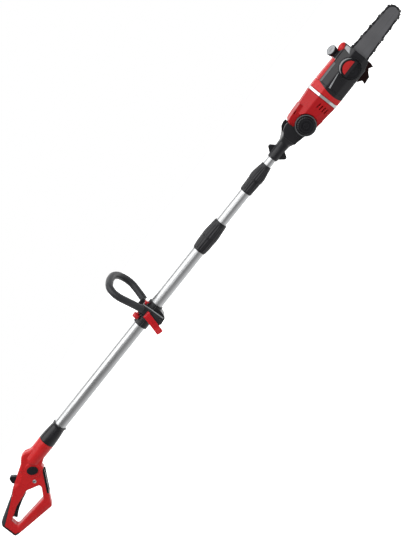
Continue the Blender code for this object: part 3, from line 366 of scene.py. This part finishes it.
def softened(geometry, width, segments, angle):
    """Rounds a bmesh's edges that turn by more than an angle in degrees."""
    sharp = [edge for edge in geometry.edges if len(edge.link_faces) == 2
             and edge.calc_face_angle(0.0) > math.radians(angle)]
    bmesh.ops.bevel(geometry, geom=sharp, offset=width, segments=segments, profile=0.5,
                    affect="EDGES", clamp_overlap=True)
    return geometry


def turned(profile, centre=(0.0, 0.0, 0.0), axis="X", segments=96, ribs=0, depth=0.0, ribbed=(0.0, 0.0),
           rim=0.0):
    """A turned solid from (along, radius) points, fluted between the ribbed limits where wider than rim."""
    geometry = bmesh.new()
    rings = []
    for along, radius in profile:
        fluted = ribs and radius > rim and ribbed[0] <= along <= ribbed[1]
        ring = []
        for i in range(segments if radius > 0 else 1):
            angle = 2 * math.pi * i / segments
            wave = 0.5 + 0.5 * math.cos(ribs * angle)
            reach = radius - depth * (1.0 - wave**0.5) if fluted else radius
            across = (reach * math.cos(angle), reach * math.sin(angle))
            order = {"X": (along, *across), "Y": (across[0], along, across[1]), "Z": (*across, along)}
            ring.append(geometry.verts.new(Vector(order[axis]) + Vector(centre)))
        rings.append(ring)
    for near, far in zip(rings, rings[1:] + rings[:1]):
        if len(near) == 1 and len(far) == 1:
            continue
        for i in range(segments):
            j = (i + 1) % segments
            corners = [near[i % len(near)], near[j % len(near)], far[j % len(far)], far[i % len(far)]]
            geometry.faces.new(list(dict.fromkeys(corners)))
    return geometry


def blended(profile, steps=5):
    """A Catmull-Rom curve through (along, radius) points."""
    ends = [profile[0], *profile, profile[-1]]
    points = []
    for p, q, r, s in zip(ends, ends[1:], ends[2:], ends[3:]):
        for i in range(steps):
            t = i / steps
            points.append(tuple(0.5 * (2 * b + (c - a) * t + (2 * a - 5 * b + 4 * c - d) * t**2
                                       + (3 * b - a - 3 * c + d) * t**3) for a, b, c, d in zip(p, q, r, s)))
    points.append(profile[-1])
    return points


def arc_points(x, z, radius, start, end, steps):
    """Points round an arc from one angle to another, in degrees."""
    points = []
    for i in range(steps + 1):
        angle = math.radians(start + (end - start) * i / steps)
        points.append(Vector((x + radius * math.cos(angle), 0, z + radius * math.sin(angle))))
    return points


def merged(*geometries):
    """Several bmeshes as one, without joining their surfaces."""
    whole = bmesh.new()
    for geometry in geometries:
        mesh = bpy.data.meshes.new("part")
        geometry.to_mesh(mesh)
        geometry.free()
        whole.from_mesh(mesh)
        bpy.data.meshes.remove(mesh)
    return whole


def box(low, high):
    """A box between two corners."""
    outline = [(low[0], low[2]), (high[0], low[2]), (high[0], high[2]), (low[0], high[2])]
    return prism(outline, low[1], high[1], on_xz)


def tilted_box(centre, size, turn):
    """A box in the XZ plane, turned about Y by an angle in degrees that lifts its front end."""
    along = Vector((math.cos(math.radians(turn)), 0, math.sin(math.radians(turn))))
    up = Vector((-along.z, 0, along.x))
    corners = []
    for a, b in ((-1, -1), (1, -1), (1, 1), (-1, 1)):
        point = Vector(centre) + along * a * size[0] / 2 + up * b * size[2] / 2
        corners.append((point.x, point.z))
    return prism(corners, centre[1] - size[1] / 2, centre[1] + size[1] / 2, on_xz)


def block(centre, along, normal, size):
    """A box with its length along one direction and its depth along a normal."""
    along = Vector(along).normalized()
    normal = Vector(normal).normalized()
    across = normal.cross(along)
    sections = []
    for side in (-1, 1):
        ring = []
        for a, b in ((-1, -1), (1, -1), (1, 1), (-1, 1)):
            offset = along * a * size[0] + across * b * size[1] + normal * side * size[2]
            ring.append(Vector(centre) + offset / 2)
        sections.append(ring)
    return loft(sections)


def apply_modifiers(piece):
    """Replaces a piece's mesh with what its modifiers make of it."""
    bpy.context.view_layer.update()
    graph = bpy.context.evaluated_depsgraph_get()
    mesh = bpy.data.meshes.new_from_object(piece.evaluated_get(graph))
    piece.modifiers.clear()
    piece.data = mesh


def boolean(piece, geometry, operation):
    """Cuts a piece with a bmesh, or keeps only what lies inside it."""
    bmesh.ops.recalc_face_normals(geometry, faces=geometry.faces)
    mesh = bpy.data.meshes.new("cutter")
    geometry.to_mesh(mesh)
    geometry.free()
    cutter = bpy.data.objects.new("cutter", mesh)
    bpy.context.scene.collection.objects.link(cutter)
    modifier = piece.modifiers.new("shape", "BOOLEAN")
    modifier.operation = operation
    modifier.solver = "EXACT"
    modifier.object = cutter
    apply_modifiers(piece)
    bpy.data.objects.remove(cutter)


def moulded(node, material, voxel=0.8 * MM, rounds=6, carve=(), name=None, keep=None, swell=0.0):
    """A CAD node's shape with moulded edges: kept inside a solid, carved, remeshed finely and smoothed.

    A swollen piece is a skin that stands proud of the node, and doesn't replace it.
    """
    source = frame["nodes"][node]
    piece = bpy.data.objects.new(name or "look_" + node, source.data.copy())
    bpy.context.scene.collection.objects.link(piece)
    weld = piece.modifiers.new("weld", "WELD")
    weld.merge_threshold = 0.01 * MM
    apply_modifiers(piece)
    if keep is not None:
        boolean(piece, keep, "INTERSECT")
    for geometry in carve:
        boolean(piece, geometry, "DIFFERENCE")
    remesh = piece.modifiers.new("remesh", "REMESH")
    remesh.mode = "VOXEL"
    remesh.voxel_size = voxel
    remesh.use_smooth_shade = True
    if swell:
        push = piece.modifiers.new("swell", "DISPLACE")
        push.strength = swell
        push.mid_level = 0.0
    smooth = piece.modifiers.new("smooth", "SMOOTH")
    smooth.factor = 0.5
    smooth.iterations = rounds
    apply_modifiers(piece)
    piece.data.materials.clear()
    piece.data.materials.append(material)
    piece.data.shade_smooth()
    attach(piece, source["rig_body"])
    if not swell:
        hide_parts(node)
    return piece


def patch(name, node, material, outline, low, high, proud=0.5 * MM, voxel=0.5 * MM):
    """A thin skin over part of a node, where an outline in XZ meets it between two depths."""
    area = prism(outline, low, high, on_xz)
    return moulded(node, material, voxel=voxel, rounds=2, name=name, keep=area, swell=proud)


def paint(node, material):
    """Gives a CAD node that stays as it is a finished material."""
    piece = frame["nodes"][node]
    piece.data.materials.clear()
    piece.data.materials.append(material)


# Rear handle


def edge_bevel(edge, turn, width, depth, cuts, sign):
    """A wedge that bevels a handle face along an edge, on the side of it that turn points to."""
    start, end = (Vector((x, 0, z)) for x, z in edge)
    along = (end - start).normalized()
    inward = Vector((-along.z, 0, along.x)) * turn
    slope = depth / width
    over = 8 * MM
    sections = []
    for share, lift in cuts:
        spot = start.lerp(end, share)
        rows = ((width + MM / slope, HANDLE_HALF + MM), (-over, HANDLE_HALF + 2 * over),
                (-over, HANDLE_HALF - depth - over * slope))
        sections.append([spot + inward * u + Vector((0, sign * (h + lift), 0)) for u, h in rows])
    return loft(sections)


def button_ribs():
    """Cutters for the four grip grooves across the lock-off button's sloping top."""
    low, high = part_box("lock_off_button")
    ribs = []
    for i in range(4):
        spot = (low.x + 0.007 + i * 0.0042, 0.0, high.z - 0.0062 + i * 0.0014)
        ribs.append(tilted_box(spot, (0.0014, 0.02, 0.0050), 17.5))
    return ribs


def make_screw(node):
    """A pan-head screw through the handle, with a socket in its head."""
    low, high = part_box(node)
    centre = (low + high) / 2
    shank = [(low.y, 0.0), (low.y, 1.8 * MM)]
    head = mm([(-2.2, 1.8), (-2.2, 3.6), (-0.6, 3.6), (0, 3.0), (0, 1.6), (-1.4, 1.4), (-1.4, 0)], high.y)
    screw = show("look_" + node, turned(shank + head, (centre.x, 0, centre.z), "Y", 30), STEEL, "rear_handle")
    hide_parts(node)


def make_handle():
    for side, sign in SIDES:
        strut = edge_bevel(STRUT_EDGE, -1, 13 * MM, 4.5 * MM, STRUT_CUTS, sign)
        shoulder = edge_bevel(SHOULDER_EDGE, 1, 15 * MM, 6.5 * MM, SHOULDER_CUTS, sign)
        moulded("handle_shell_" + side, RED, carve=[strut, shoulder])
        moulded("boss_cap_" + side, SMOOTH_BLACK, voxel=0.4 * MM, rounds=4)
    moulded("grip_overmould", RUBBER, rounds=5)
    moulded("butt_cap", BLACK, rounds=5)
    moulded("battery_rail", BLACK, voxel=0.6 * MM, rounds=3)
    moulded("contact_block", DARK, voxel=0.4 * MM, rounds=2)
    moulded("trigger", SMOOTH_BLACK, voxel=0.6 * MM, rounds=5)
    moulded("lock_off_button", SMOOTH_BLACK, voxel=0.5 * MM, rounds=3, carve=button_ribs())
    for number in (1, 2, 3):
        make_screw(f"handle_screw_{number}")
    for node in ("strap_eyelet", "trigger_pin", "trigger_spring", "lock_off_spring"):
        paint(node, STEEL)
    paint("switch_module", DARK)


# Pole


def tube(name, node, body, wall=1.4 * MM):
    """A tube with its ends chamfered."""
    low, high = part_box(node)
    outer = high.z
    inner = outer - wall
    chamfer = 0.4 * MM
    profile = [(low.x, inner + chamfer), (low.x, outer - chamfer), (low.x + chamfer, outer),
               (high.x - chamfer, outer), (high.x, outer - chamfer), (high.x, inner + chamfer),
               (high.x - chamfer, inner), (low.x + chamfer, inner)]
    piece = show(name, turned(profile, segments=128), ALUMINIUM, body)
    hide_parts(node)


def make_collar_base(number, bore):
    """A twist collar's fixed base, with grip flutes."""
    node = f"collar_{number}_base"
    low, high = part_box(node)
    rear = [*mm([(0, 0.4), (0.6, 1.2), (5, 2.2)], low.x, bore), (low.x + 20 * MM, high.z - 1.0 * MM),
            *mm([(-3, 0), (-0.6, -0.2), (0, -0.9)], high.x, high.z)]
    base = turned([*blended(rear), (high.x, bore), (low.x, bore)], segments=192, ribs=16, depth=1.2 * MM,
                  ribbed=(low.x + 7 * MM, high.x - 3 * MM))
    piece = show("look_" + node, base, BLACK, frame["nodes"][node]["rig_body"], 50)
    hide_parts(node)


def make_collar_nut(number, body, bore, throat, end):
    """A twist collar's turning nut, with grip flutes that fade where it narrows."""
    node = f"collar_{number}_nut"
    low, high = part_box(node)
    wide = high.z
    front = [*mm([(0, -0.9), (0.6, -0.2), (3, 0), (18, -0.3)], low.x, wide),
             (low.x + 32 * MM, wide * 0.62 + end * 0.38), *mm([(-8, 1.6), (-1, 0.4), (0, -0.3)], high.x, end)]
    inside = [(high.x, throat), (high.x - 13 * MM, throat), (high.x - 17 * MM, bore + 0.2 * MM),
              (low.x, bore + 0.2 * MM)]
    nut = turned([*blended(front), *inside], segments=192, ribs=16, depth=1.4 * MM,
                 ribbed=(low.x + 3 * MM, high.x - 9 * MM), rim=throat + 1.6 * MM)
    piece = show("look_" + node, nut, BLACK, body, 50)
    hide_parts(node)


def make_collar(number, body):
    bore, throat, end = COLLAR_RADII[number]
    make_collar_base(number, bore)
    make_collar_nut(number, body, bore, throat, end)
    paint(f"collet_{number}", GREY_AND_HIGHLIGHT)


def make_pole():
    tube("look_outer_tube", "outer_tube", "rear_handle")
    tube("look_mid_tube", "mid_tube", "mid_stage")
    tube("look_head_tube", "head_tube", "head_stage")
    low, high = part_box("tube_sleeve")
    outside = [*mm([(0, -0.8), (0.8, 0), (12, -0.2), (28, -1.2), (48, -3.1)], low.x, high.z),
               *mm([(-8, -4.4), (-3, -3.2), (-0.8, -2.2), (0, -2.8)], high.x, high.z)]
    sleeve = turned([*blended(outside), (high.x, SLEEVE_BORE), (low.x, SLEEVE_BORE)], segments=128)
    piece = show("look_tube_sleeve", sleeve, SMOOTH_BLACK, "rear_handle")
    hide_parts("tube_sleeve")
    make_collar(1, "collar_1_turning")
    make_collar(2, "collar_2_turning")
    paint("coiled_lead", DARK)


# Loop handle


def lever_grooves():
    """Cutters for the cam lever's three long grooves and the three short ones across its tip."""
    low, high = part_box("cam_lever")
    top = Vector((low.x + 30.3 * MM, low.y, high.z - 3.0 * MM))
    outwards = (0, -1, 0)
    grooves = []
    for offset in (-5.2, 0.0, 5.2):
        middle = top + LEVER_DOWN * 31 * MM + LEVER_ACROSS * offset * MM
        grooves.append(block(middle, LEVER_DOWN, outwards, (41 * MM, 2.2 * MM, 3.0 * MM)))
    for offset in (58, 62, 66):
        middle = top + LEVER_DOWN * offset * MM
        grooves.append(block(middle, LEVER_ACROSS, outwards, (15 * MM, 1.2 * MM, 1.6 * MM)))
    return grooves


def make_loop_handle():
    low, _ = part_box("clamp_upper")
    seam = mm([(-0.8, 22.6), (-0.8, 30), (0.8, 30), (0.8, 22.6)], low.x + 0.014)
    for node in ("clamp_upper", "clamp_lower"):
        moulded(node, BLACK, voxel=0.7 * MM, rounds=5, carve=[turned(seam, segments=48)])
    moulded("loop_handle", FOAM, voxel=0.9 * MM, rounds=8)
    # A thin grey line along the front edge of the loop's near plate: a painted highlight.
    edge = [(0.6372, 36 * MM), (0.6386, 36 * MM), (0.6400, 5 * MM), (0.6396, -38 * MM), (0.6378, -38 * MM),
            (0.6384, 5 * MM)]
    patch("look_plate_edge_highlight", "loop_handle", GREY_AND_HIGHLIGHT, edge, -36 * MM, -28 * MM, proud=0.35 * MM,
          voxel=0.3 * MM)
    moulded("cam_lever", LEVER_RED, voxel=0.45 * MM, rounds=3, carve=lever_grooves())
    moulded("tilt_lock_bar", LEVER_RED, voxel=0.5 * MM, rounds=4)
    for node in ("clamp_bolt", "clamp_nut"):
        moulded(node, OXIDE, voxel=0.4 * MM, rounds=2)
    paint("cam_pin", OXIDE)


# Head


def make_yoke():
    moulded("yoke", BLACK)
    centre = middle_of("tilt_button")
    low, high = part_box("tilt_button")
    face, rim = low.y, low.y + 5.2 * MM
    profile = mm([(1.6, 0), (1.6, 4.6), (0.2, 5.4), (0.2, 9.6), (2.0, 10.6), (2.0, 13.4), (0.1, 14.4),
                  (0, 19.6), (1.6, 20.4), (1.6, 21.6), (0.5, 22.4), (1.0, 25.0), (2.6, 26.7)], face)
    profile += [(rim, 27.0 * MM), (rim, 10 * MM), (high.y, 10 * MM), (high.y, 0.0)]
    button = turned(profile, (centre.x, 0, centre.z), "Y", 192, ribs=24, depth=1.5 * MM, ribbed=(face, rim),
                    rim=22.0 * MM)
    piece = show("look_tilt_button", button, SMOOTH_BLACK, "tilt_button", 50)
    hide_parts("tilt_button")
    # A dim grey ring round the tilt button: a painted highlight on the arm's rim.
    ring = turned(mm([(0.6, 28.4), (0, 29.0), (0, 31.0), (0.6, 31.6)], low.y + 4.6 * MM),
                  (centre.x, 0, centre.z), "Y", 96)
    show("look_arm_ring_highlight", ring, DIM_SHEEN, "head_stage")
    paint("pivot_pin", OXIDE)
    paint("detent_ring", STEEL)


def side_of(z, sign):
    """The head's surface at a height on one side: a point's Y, and the surface's outward normal."""
    end = TOP if z > RIDGE[1] else FOOT
    share = (z - RIDGE[1]) / (end[1] - RIDGE[1])
    half = RIDGE[0] + (end[0] - RIDGE[0]) * share
    slope = Vector((end[0] - RIDGE[0], end[1] - RIDGE[1]))
    normal = Vector((abs(slope.y), abs(slope.x) * (1 if z > RIDGE[1] else -1))).normalized()
    return sign * half, Vector((0, sign * normal.x, normal.y))


def vents(sign):
    """Cutters for the vents through one side of the motor shells."""
    cutters = []
    for row in VENT_ROWS:
        size = (row["length"] * MM, row["width"] * MM, VENT_DEPTH)
        for i in range(VENTS_IN_ROW):
            x = row["x"] + i * row["x_step"] * MM
            z = row["z"] * MM + i * row["z_step"] * MM
            y, normal = side_of(z, sign)
            cutters.append(block(Vector((x, y, z)) + normal * VENT_RISE, (1, 0, row["lean"]), normal, size))
    return merged(*cutters)


def make_motor_unit():
    for side, sign in SIDES:
        moulded("motor_shell_" + side, SHADED_MOTOR_RED, carve=[vents(sign)])
    moulded("lock_ring", RING, voxel=0.6 * MM, rounds=4)
    paint("motor", DARK)
    paint("motor_shaft", STEEL)


# Saw attachment


def rear_patch_outline(front):
    """The black area behind the cover: straight along its front, and bowed towards the motor at its back."""
    outline = mm([(1, 37), (1, -50)], front)
    for i in range(13):
        z = -50 + 87 * i / 12
        bend = 0.0078 if z < -22 else 0.0036
        outline.append((front - (12.6 - bend * (z + 22) ** 2) * MM, z * MM))
    return outline


def dome_ring(z, half):
    """An oval ring of the crown at a height: half its length along X, and narrower across in proportion."""
    x, y = CROWN_AT
    across = 8.5 * MM * half / (11.0 * MM)
    points = []
    for i in range(48):
        angle = 2 * math.pi * i / 48
        points.append(Vector((x + half * math.cos(angle), y + across * math.sin(angle), z)))
    return points


def make_oil_cap():
    """The fluted filler cap, leaning to the right, with a raised grip bar on its grey face."""
    shift = Matrix.Translation(Vector(CAP_AT)) @ Matrix.Rotation(CAP_TILT, 4, "X")
    profile = mm([(0, 0), (0, 15.2), (0.8, 15.9), (9.6, 17.0), (11.6, 16.2), (12.4, 14.8), (12.4, 13.4),
                  (11.4, 13.0), (11.4, 0)])
    cap = turned(profile, axis="Z", segments=144, ribs=24, depth=1.5 * MM, ribbed=(0.6 * MM, 11.7 * MM),
                 rim=14 * MM)
    bmesh.ops.transform(cap, matrix=shift, verts=cap.verts)
    piece = show("look_oil_cap", cap, SMOOTH_BLACK, "filler_cap", 50)
    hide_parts("oil_cap")
    profile = mm([(11.2, 0), (11.2, 15.4), (12.4, 15.0), (13.0, 13.6), (13.0, 11.4), (12.4, 11.0), (12.4, 0)])
    grip = block((0, 0, 12.6 * MM), (1, 0, 0), (0, 0, 1), (14 * MM, 3.0 * MM, 2.2 * MM))
    face = merged(turned(profile, axis="Z", segments=72), grip)
    bmesh.ops.transform(face, matrix=shift, verts=face.verts)
    show("look_cap_face", face, GREY_AND_HIGHLIGHT, "filler_cap")


def make_attachment():
    moulded("attachment_collar", RED, rounds=5)
    _, collar_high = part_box("attachment_collar")
    patch("look_cover_rear", "attachment_collar", BLACK, rear_patch_outline(collar_high.x),
          FAR_RIGHT, -12 * MM)
    moulded("gear_housing", BLACK)
    tank_low, tank_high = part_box("oil_tank")
    split = tank_low.x + 74 * MM
    rear_part = box((tank_low.x - MM, -0.1, 0.0), (split, 0.1, 0.1))
    front_part = box((split + 0.3 * MM, -0.1, 0.0), (tank_high.x + MM, 0.1, 0.1))
    moulded("oil_tank", RED, keep=rear_part)
    moulded("oil_tank", BLACK, keep=front_part, name="look_oil_tank_front")
    crown = loft([dome_ring(z, half) for z, half in mm(CROWN_RINGS)])
    show("look_tank_crown", crown, RED, "saw_attachment", 60)
    moulded("bumper_spikes", SPIKE, voxel=0.4 * MM, rounds=3)
    make_oil_cap()
    for node in ("bar_stud", "drive_pinion", "bevel_gear", "drive_sprocket"):
        paint(node, STEEL)


def make_cover():
    """The side cover with its grip grooves, cut corner, and grey areas painted as highlights and a sheen."""
    low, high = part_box("sprocket_cover")
    notches = []
    for i in range(5):
        z = -16 * MM - i * 6.0 * MM
        y, normal = side_of(z, -1)
        notches.append(block((low.x + 27 * MM, y, z), (1, 0, 0), normal, (34 * MM, 1.6 * MM, 2.0 * MM)))
    corner = mm([(1, -34), (1, -60), (-40, -60), (-24, -45.5), (-6, -40)], high.x)
    notches.append(prism(corner, -0.06, 0.01, on_xz))
    moulded("sprocket_cover", BLACK, rounds=5, carve=notches)
    # A raised plate by the oil cap, whose light grey is a painted highlight.
    raised = mm([(-18, 21), (-4, 27.5), (-4, 37.8), (-13, 37.8)], high.x)
    patch("look_cover_plate_highlight", "sprocket_cover", GREY_AND_HIGHLIGHT, raised, FAR_RIGHT, -10 * MM,
          proud=1.2 * MM)
    # A light grey strip along the cover's ridge: a painted highlight.
    strip = mm([(0.4, 2.5), (50, 11.0), (50, 12.4), (0.4, 7.0)], low.x)
    patch("look_cover_ridge_highlight", "sprocket_cover", GREY_AND_HIGHLIGHT, strip, FAR_RIGHT, -35 * MM)
    # A dim grey band along the cover's top edge: a painted sheen.
    band = mm([(0.4, 33.0), (66, 33.0), (66, 37.8), (0.4, 37.8)], low.x)
    patch("look_cover_band_sheen", "sprocket_cover", DIM_SHEEN, band, FAR_RIGHT, -10 * MM)


def crescent_outline(centre):
    """A thin crescent of painted highlight over the knob: an even inner arc, and an outer one that swells in
    the middle.
    """
    outline = []
    for i in range(66):
        share = i / 32 if i < 33 else (65 - i) / 32
        angle = math.radians(35 + 120 * share)
        reach = CRESCENT_RADIUS + (CRESCENT_SWELL * math.sin(math.pi * share)**0.7 if i < 33 else 0.0)
        outline.append((centre.x + reach * math.cos(angle), centre.z + reach * math.sin(angle)))
    del outline[-1], outline[32]
    return outline


def make_knob():
    """The cover's knob: a fluted disc with a red half and a grip bar, and the grey crescent over it, a
    painted highlight on the rim round the knob.
    """
    centre = middle_of("cover_knob")
    low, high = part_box("cover_knob")
    face = low.y + 6.0 * MM
    back = high.y
    outer = (high.x - low.x) / 2
    profile = [(back, 3.7 * MM), (back, outer - 0.3 * MM),
               *mm([(2.0, 0), (0.6, -0.5), (0, -1.6), (0, -4.0), (1.6, -5.0)], face, outer),
               (face + 1.6 * MM, 3.7 * MM)]
    disc = turned(profile, (centre.x, 0, centre.z), "Y", 144, ribs=36, depth=0.7 * MM,
                  ribbed=(face + 1.0 * MM, back), rim=outer - 1.5 * MM)
    piece = show("look_cover_knob", disc, SMOOTH_BLACK, "cover_knob", 50)
    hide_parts("cover_knob")
    half = [(point.x, point.z) for point in arc_points(centre.x, centre.z, KNOB_HALF_RADIUS, 8, 172, 40)]
    red = softened(prism(half, face - 1.6 * MM, face + 1.8 * MM, on_xz), 0.9 * MM, 3, 50)
    show("look_knob_half", red, RED, "cover_knob", 50)
    bar = tilted_box((centre.x, face - 1.8 * MM, centre.z), (0.052, 0.0082, 0.0085), 0)
    show("look_knob_bar", softened(bar, 1.6 * MM, 3, 50), SMOOTH_BLACK, "cover_knob", 50)
    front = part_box("sprocket_cover")[0].y
    # The grey crescent is a painted highlight on the raised rim round the knob.
    rim = prism(crescent_outline(centre), front - 0.1 * MM, front + 2.0 * MM, on_xz)
    show("look_cover_crescent_highlight", rim, GREY_AND_HIGHLIGHT, "side_cover", 50)


# Bar and chain


def chain_line(extra):
    """The line round sprocket, bar shoulders and nose, grown by extra, with the length up to each point."""
    low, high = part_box("guide_bar")
    z = (low.z + high.z) / 2
    tail_x = middle_of("drive_sprocket").x
    nose_x = high.x - NOSE_RADIUS
    rear = math.degrees(math.asin((SHOULDER_RADIUS - TAIL_RADIUS) / (SHOULDER_X - tail_x)))
    front = math.degrees(math.asin((NOSE_RADIUS - SHOULDER_RADIUS) / (nose_x - SHOULDER_X)))
    points = arc_points(nose_x, z, NOSE_RADIUS + extra, -90 - front, 90 + front, 48)
    points += arc_points(SHOULDER_X, z, SHOULDER_RADIUS + extra, 90 + front, 90 + rear, 8)
    points += arc_points(tail_x, z, TAIL_RADIUS + extra, 90 + rear, 270 - rear, 48)
    points += arc_points(SHOULDER_X, z, SHOULDER_RADIUS + extra, 270 - rear, 270 - front, 8)
    points.append(points[0])
    lengths = [0.0]
    for a, b in zip(points, points[1:]):
        lengths.append(lengths[-1] + (b - a).length)
    return points, lengths


def point_at(corners, lengths, distance):
    """The point at a distance along a closed line."""
    distance %= lengths[-1]
    low, high = 0, len(lengths) - 1
    while high - low > 1:
        mid = (low + high) // 2
        if lengths[mid] <= distance:
            low = mid
        else:
            high = mid
    share = (distance - lengths[low]) / (lengths[high] - lengths[low])
    return corners[low].lerp(corners[high], share)


def plate(start, end, outline, low, high):
    """A flat chain plate: an outline in (along, outwards) millimetres, from one rivet to the next."""
    along = (end - start).normalized()
    out = Vector((along.z, 0, -along.x))

    def place(a, b, depth):
        point = start + along * a * MM + out * b * MM
        return (point.x, depth, point.z)

    return prism(outline, low, high, place)


def rivet(spot, middle, reach, shoulder, segments):
    """A rivet about a middle depth: how far out its faces are, and how far out its chamfers start."""
    profile = [(middle - reach, 0.0), (middle - reach, 1.3 * MM), (middle - shoulder, 1.7 * MM),
               (middle + shoulder, 1.7 * MM), (middle + reach, 1.3 * MM), (middle + reach, 0.0)]
    return turned(profile, (spot.x, 0, spot.z), "Y", segments)


def make_bar():
    """The guide bar: two ground plates, a core set in between them, and the nose sprocket's rivets."""
    low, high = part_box("guide_bar")
    middle = (low.y + high.y) / 2
    outline = [(point.x, point.z) for point in chain_line(0.0)[0][:-1] if point.x > low.x]
    layers = []
    for near, far in ((-2.25, -0.75), (0.75, 2.25)):
        layer = prism(outline, middle + near * MM, middle + far * MM, on_xz)
        layers.append(softened(layer, 0.35 * MM, 2, 60))
    inner = [(point.x, point.z) for point in chain_line(-4.0 * MM)[0][:-1] if point.x > low.x + 2 * MM]
    core = prism(inner, middle - 0.8 * MM, middle + 0.8 * MM, on_xz)
    bar = show("look_guide_bar", merged(*layers, core), BAR, "saw_attachment")
    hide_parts("guide_bar")
    nose = Vector((high.x - NOSE_RADIUS, 0, (low.z + high.z) / 2))
    rivets = []
    for angle in (30, 150, 270):
        spot = nose + 6.5 * MM * Vector((math.cos(math.radians(angle)), 0, math.sin(math.radians(angle))))
        rivets.append(rivet(spot, middle, 2.45 * MM, 2.2 * MM, 20))
    show("look_bar_rivets", merged(*rivets), BAR, "saw_attachment")


def cutter_side(k):
    """The side that link k's cutter is on, as a sign of Y, or 0 where it has none."""
    if k % LINKS_PER_CUTTER != 1:
        return 0
    return -1 if (k // LINKS_PER_CUTTER) % 2 == 0 else 1


def make_chain():
    """The saw chain: drive links, side straps and rivets as one piece, and the cutters as another."""
    corners, lengths = chain_line(RIVET_LINE)
    count = 2 * round(lengths[-1] / PITCH / 2)
    step = lengths[-1] / count
    middle = middle_of("saw_chain").y
    links, cutters = [], []
    for k in range(count):
        start = point_at(corners, lengths, k * step)
        end = point_at(corners, lengths, (k + 1) * step)
        if k % 2 == 0:
            links.append(plate(start, end, DRIVE, middle - 0.62 * MM, middle + 0.62 * MM))
            continue
        for sign in (-1, 1):
            inner, outer = sorted((middle + sign * 0.75 * MM, middle + sign * 1.9 * MM))
            if sign != cutter_side(k):
                links.append(plate(start, end, STRAP, inner, outer))
                continue
            cutters.append(plate(start, end, TOOTH, inner, outer))
            edge = sorted((middle - sign * 0.4 * MM, middle + sign * 3.0 * MM))
            cutters.append(plate(start, end, TOOTH_TOP, *edge))
        for spot in (start, end):
            links.append(rivet(spot, middle, 2.3 * MM, 1.9 * MM, 10))
    chain = show("look_saw_chain", merged(*links), CHAIN, "saw_attachment")
    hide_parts("saw_chain")
    show("look_chain_cutters", merged(*cutters), CUTTER, "saw_attachment")


# Stage, light and camera


def along_y(tree, space):
    """How far back a point is, in the given texture space."""
    place = add(tree, "ShaderNodeTexCoord")
    parts = add(tree, "ShaderNodeSeparateXYZ")
    tree.links.new(place.outputs[space], parts.inputs["Vector"])
    return parts.outputs["Y"]


def make_floor():
    """A pale floor with painted shade in front of the tool, glowing behind it."""
    floor = bmesh.new()
    bmesh.ops.create_circle(floor, cap_ends=True, segments=96, radius=FLOOR_RADIUS)
    mesh = bpy.data.meshes.new("floor")
    floor.to_mesh(mesh)
    floor.free()
    piece = bpy.data.objects.new("floor", mesh)
    piece.location = (*FLOOR_CENTRE, FLOOR)
    bpy.context.scene.collection.objects.link(piece)
    made, tree, shader = nodes_for("floor_look")
    drift = ramp(tree, noise(tree, scale=1.5, detail=2.0), *NOISE_RANGE, 0.0, 1.0)
    pale = mixed(tree, drift, FLOOR_PALE, FLOOR_PALER)
    across = along_y(tree, "Object")
    # The floor is painted dark grey in front of the tool: painted shade, which the tubes reflect as a dark
    # band.
    tone = mixed(tree, ramp(tree, across, *SHADE_TO_PALE_RAMP), FLOOR_FRONT_SHADE, pale)
    tree.links.new(tone, shader.inputs["Base Color"])
    shader.inputs["Roughness"].default_value = 0.9
    tree.links.new(ramp(tree, across, *GLOW_RAMP), shader.inputs["Emission Strength"])
    shader.inputs["Emission Color"].default_value = WHITE
    piece.data.materials.append(made)


def make_studio():
    """White surroundings that are brightest behind the tool."""
    world = bpy.data.worlds.new("studio")
    world.use_nodes = True
    tree = world.node_tree
    strength = ramp(tree, along_y(tree, "Generated"), *STUDIO_RAMP)
    tree.links.new(strength, tree.nodes["Background"].inputs["Strength"])
    tree.nodes["Background"].inputs["Color"].default_value = WHITE
    bpy.context.scene.world = world
    bpy.context.scene.view_settings.view_transform = "Standard"


def make_lamp(name, at, towards, size, power):
    """A soft rectangular lamp that faces a point."""
    light = bpy.data.lights.new(name, "AREA")
    light.shape = "RECTANGLE"
    light.size, light.size_y = size
    light.energy = power
    piece = bpy.data.objects.new(name, light)
    piece.location = at
    piece.rotation_euler = (Vector(towards) - Vector(at)).to_track_quat("-Z", "Y").to_euler()
    bpy.context.scene.collection.objects.link(piece)


def make_camera():
    camera = bpy.data.cameras.new("camera")
    camera.lens = LENS
    piece = bpy.data.objects.new("camera", camera)
    turn = Matrix.Rotation(CAMERA_TURN, 4, "Z")
    dip = Matrix.Rotation(math.pi / 2 - CAMERA_DIP, 4, "X")
    roll = Matrix.Rotation(CAMERA_ROLL, 4, "Z")
    piece.matrix_world = Matrix.Translation(CAMERA_AT) @ turn @ dip @ roll
    bpy.context.scene.collection.objects.link(piece)
    bpy.context.scene.camera = piece


make_handle()
make_pole()
make_loop_handle()
make_yoke()
make_motor_unit()
make_attachment()
make_cover()
make_knob()
make_bar()
make_chain()
make_floor()
make_studio()
for lamp in LAMPS:
    make_lamp(*lamp)
make_camera()
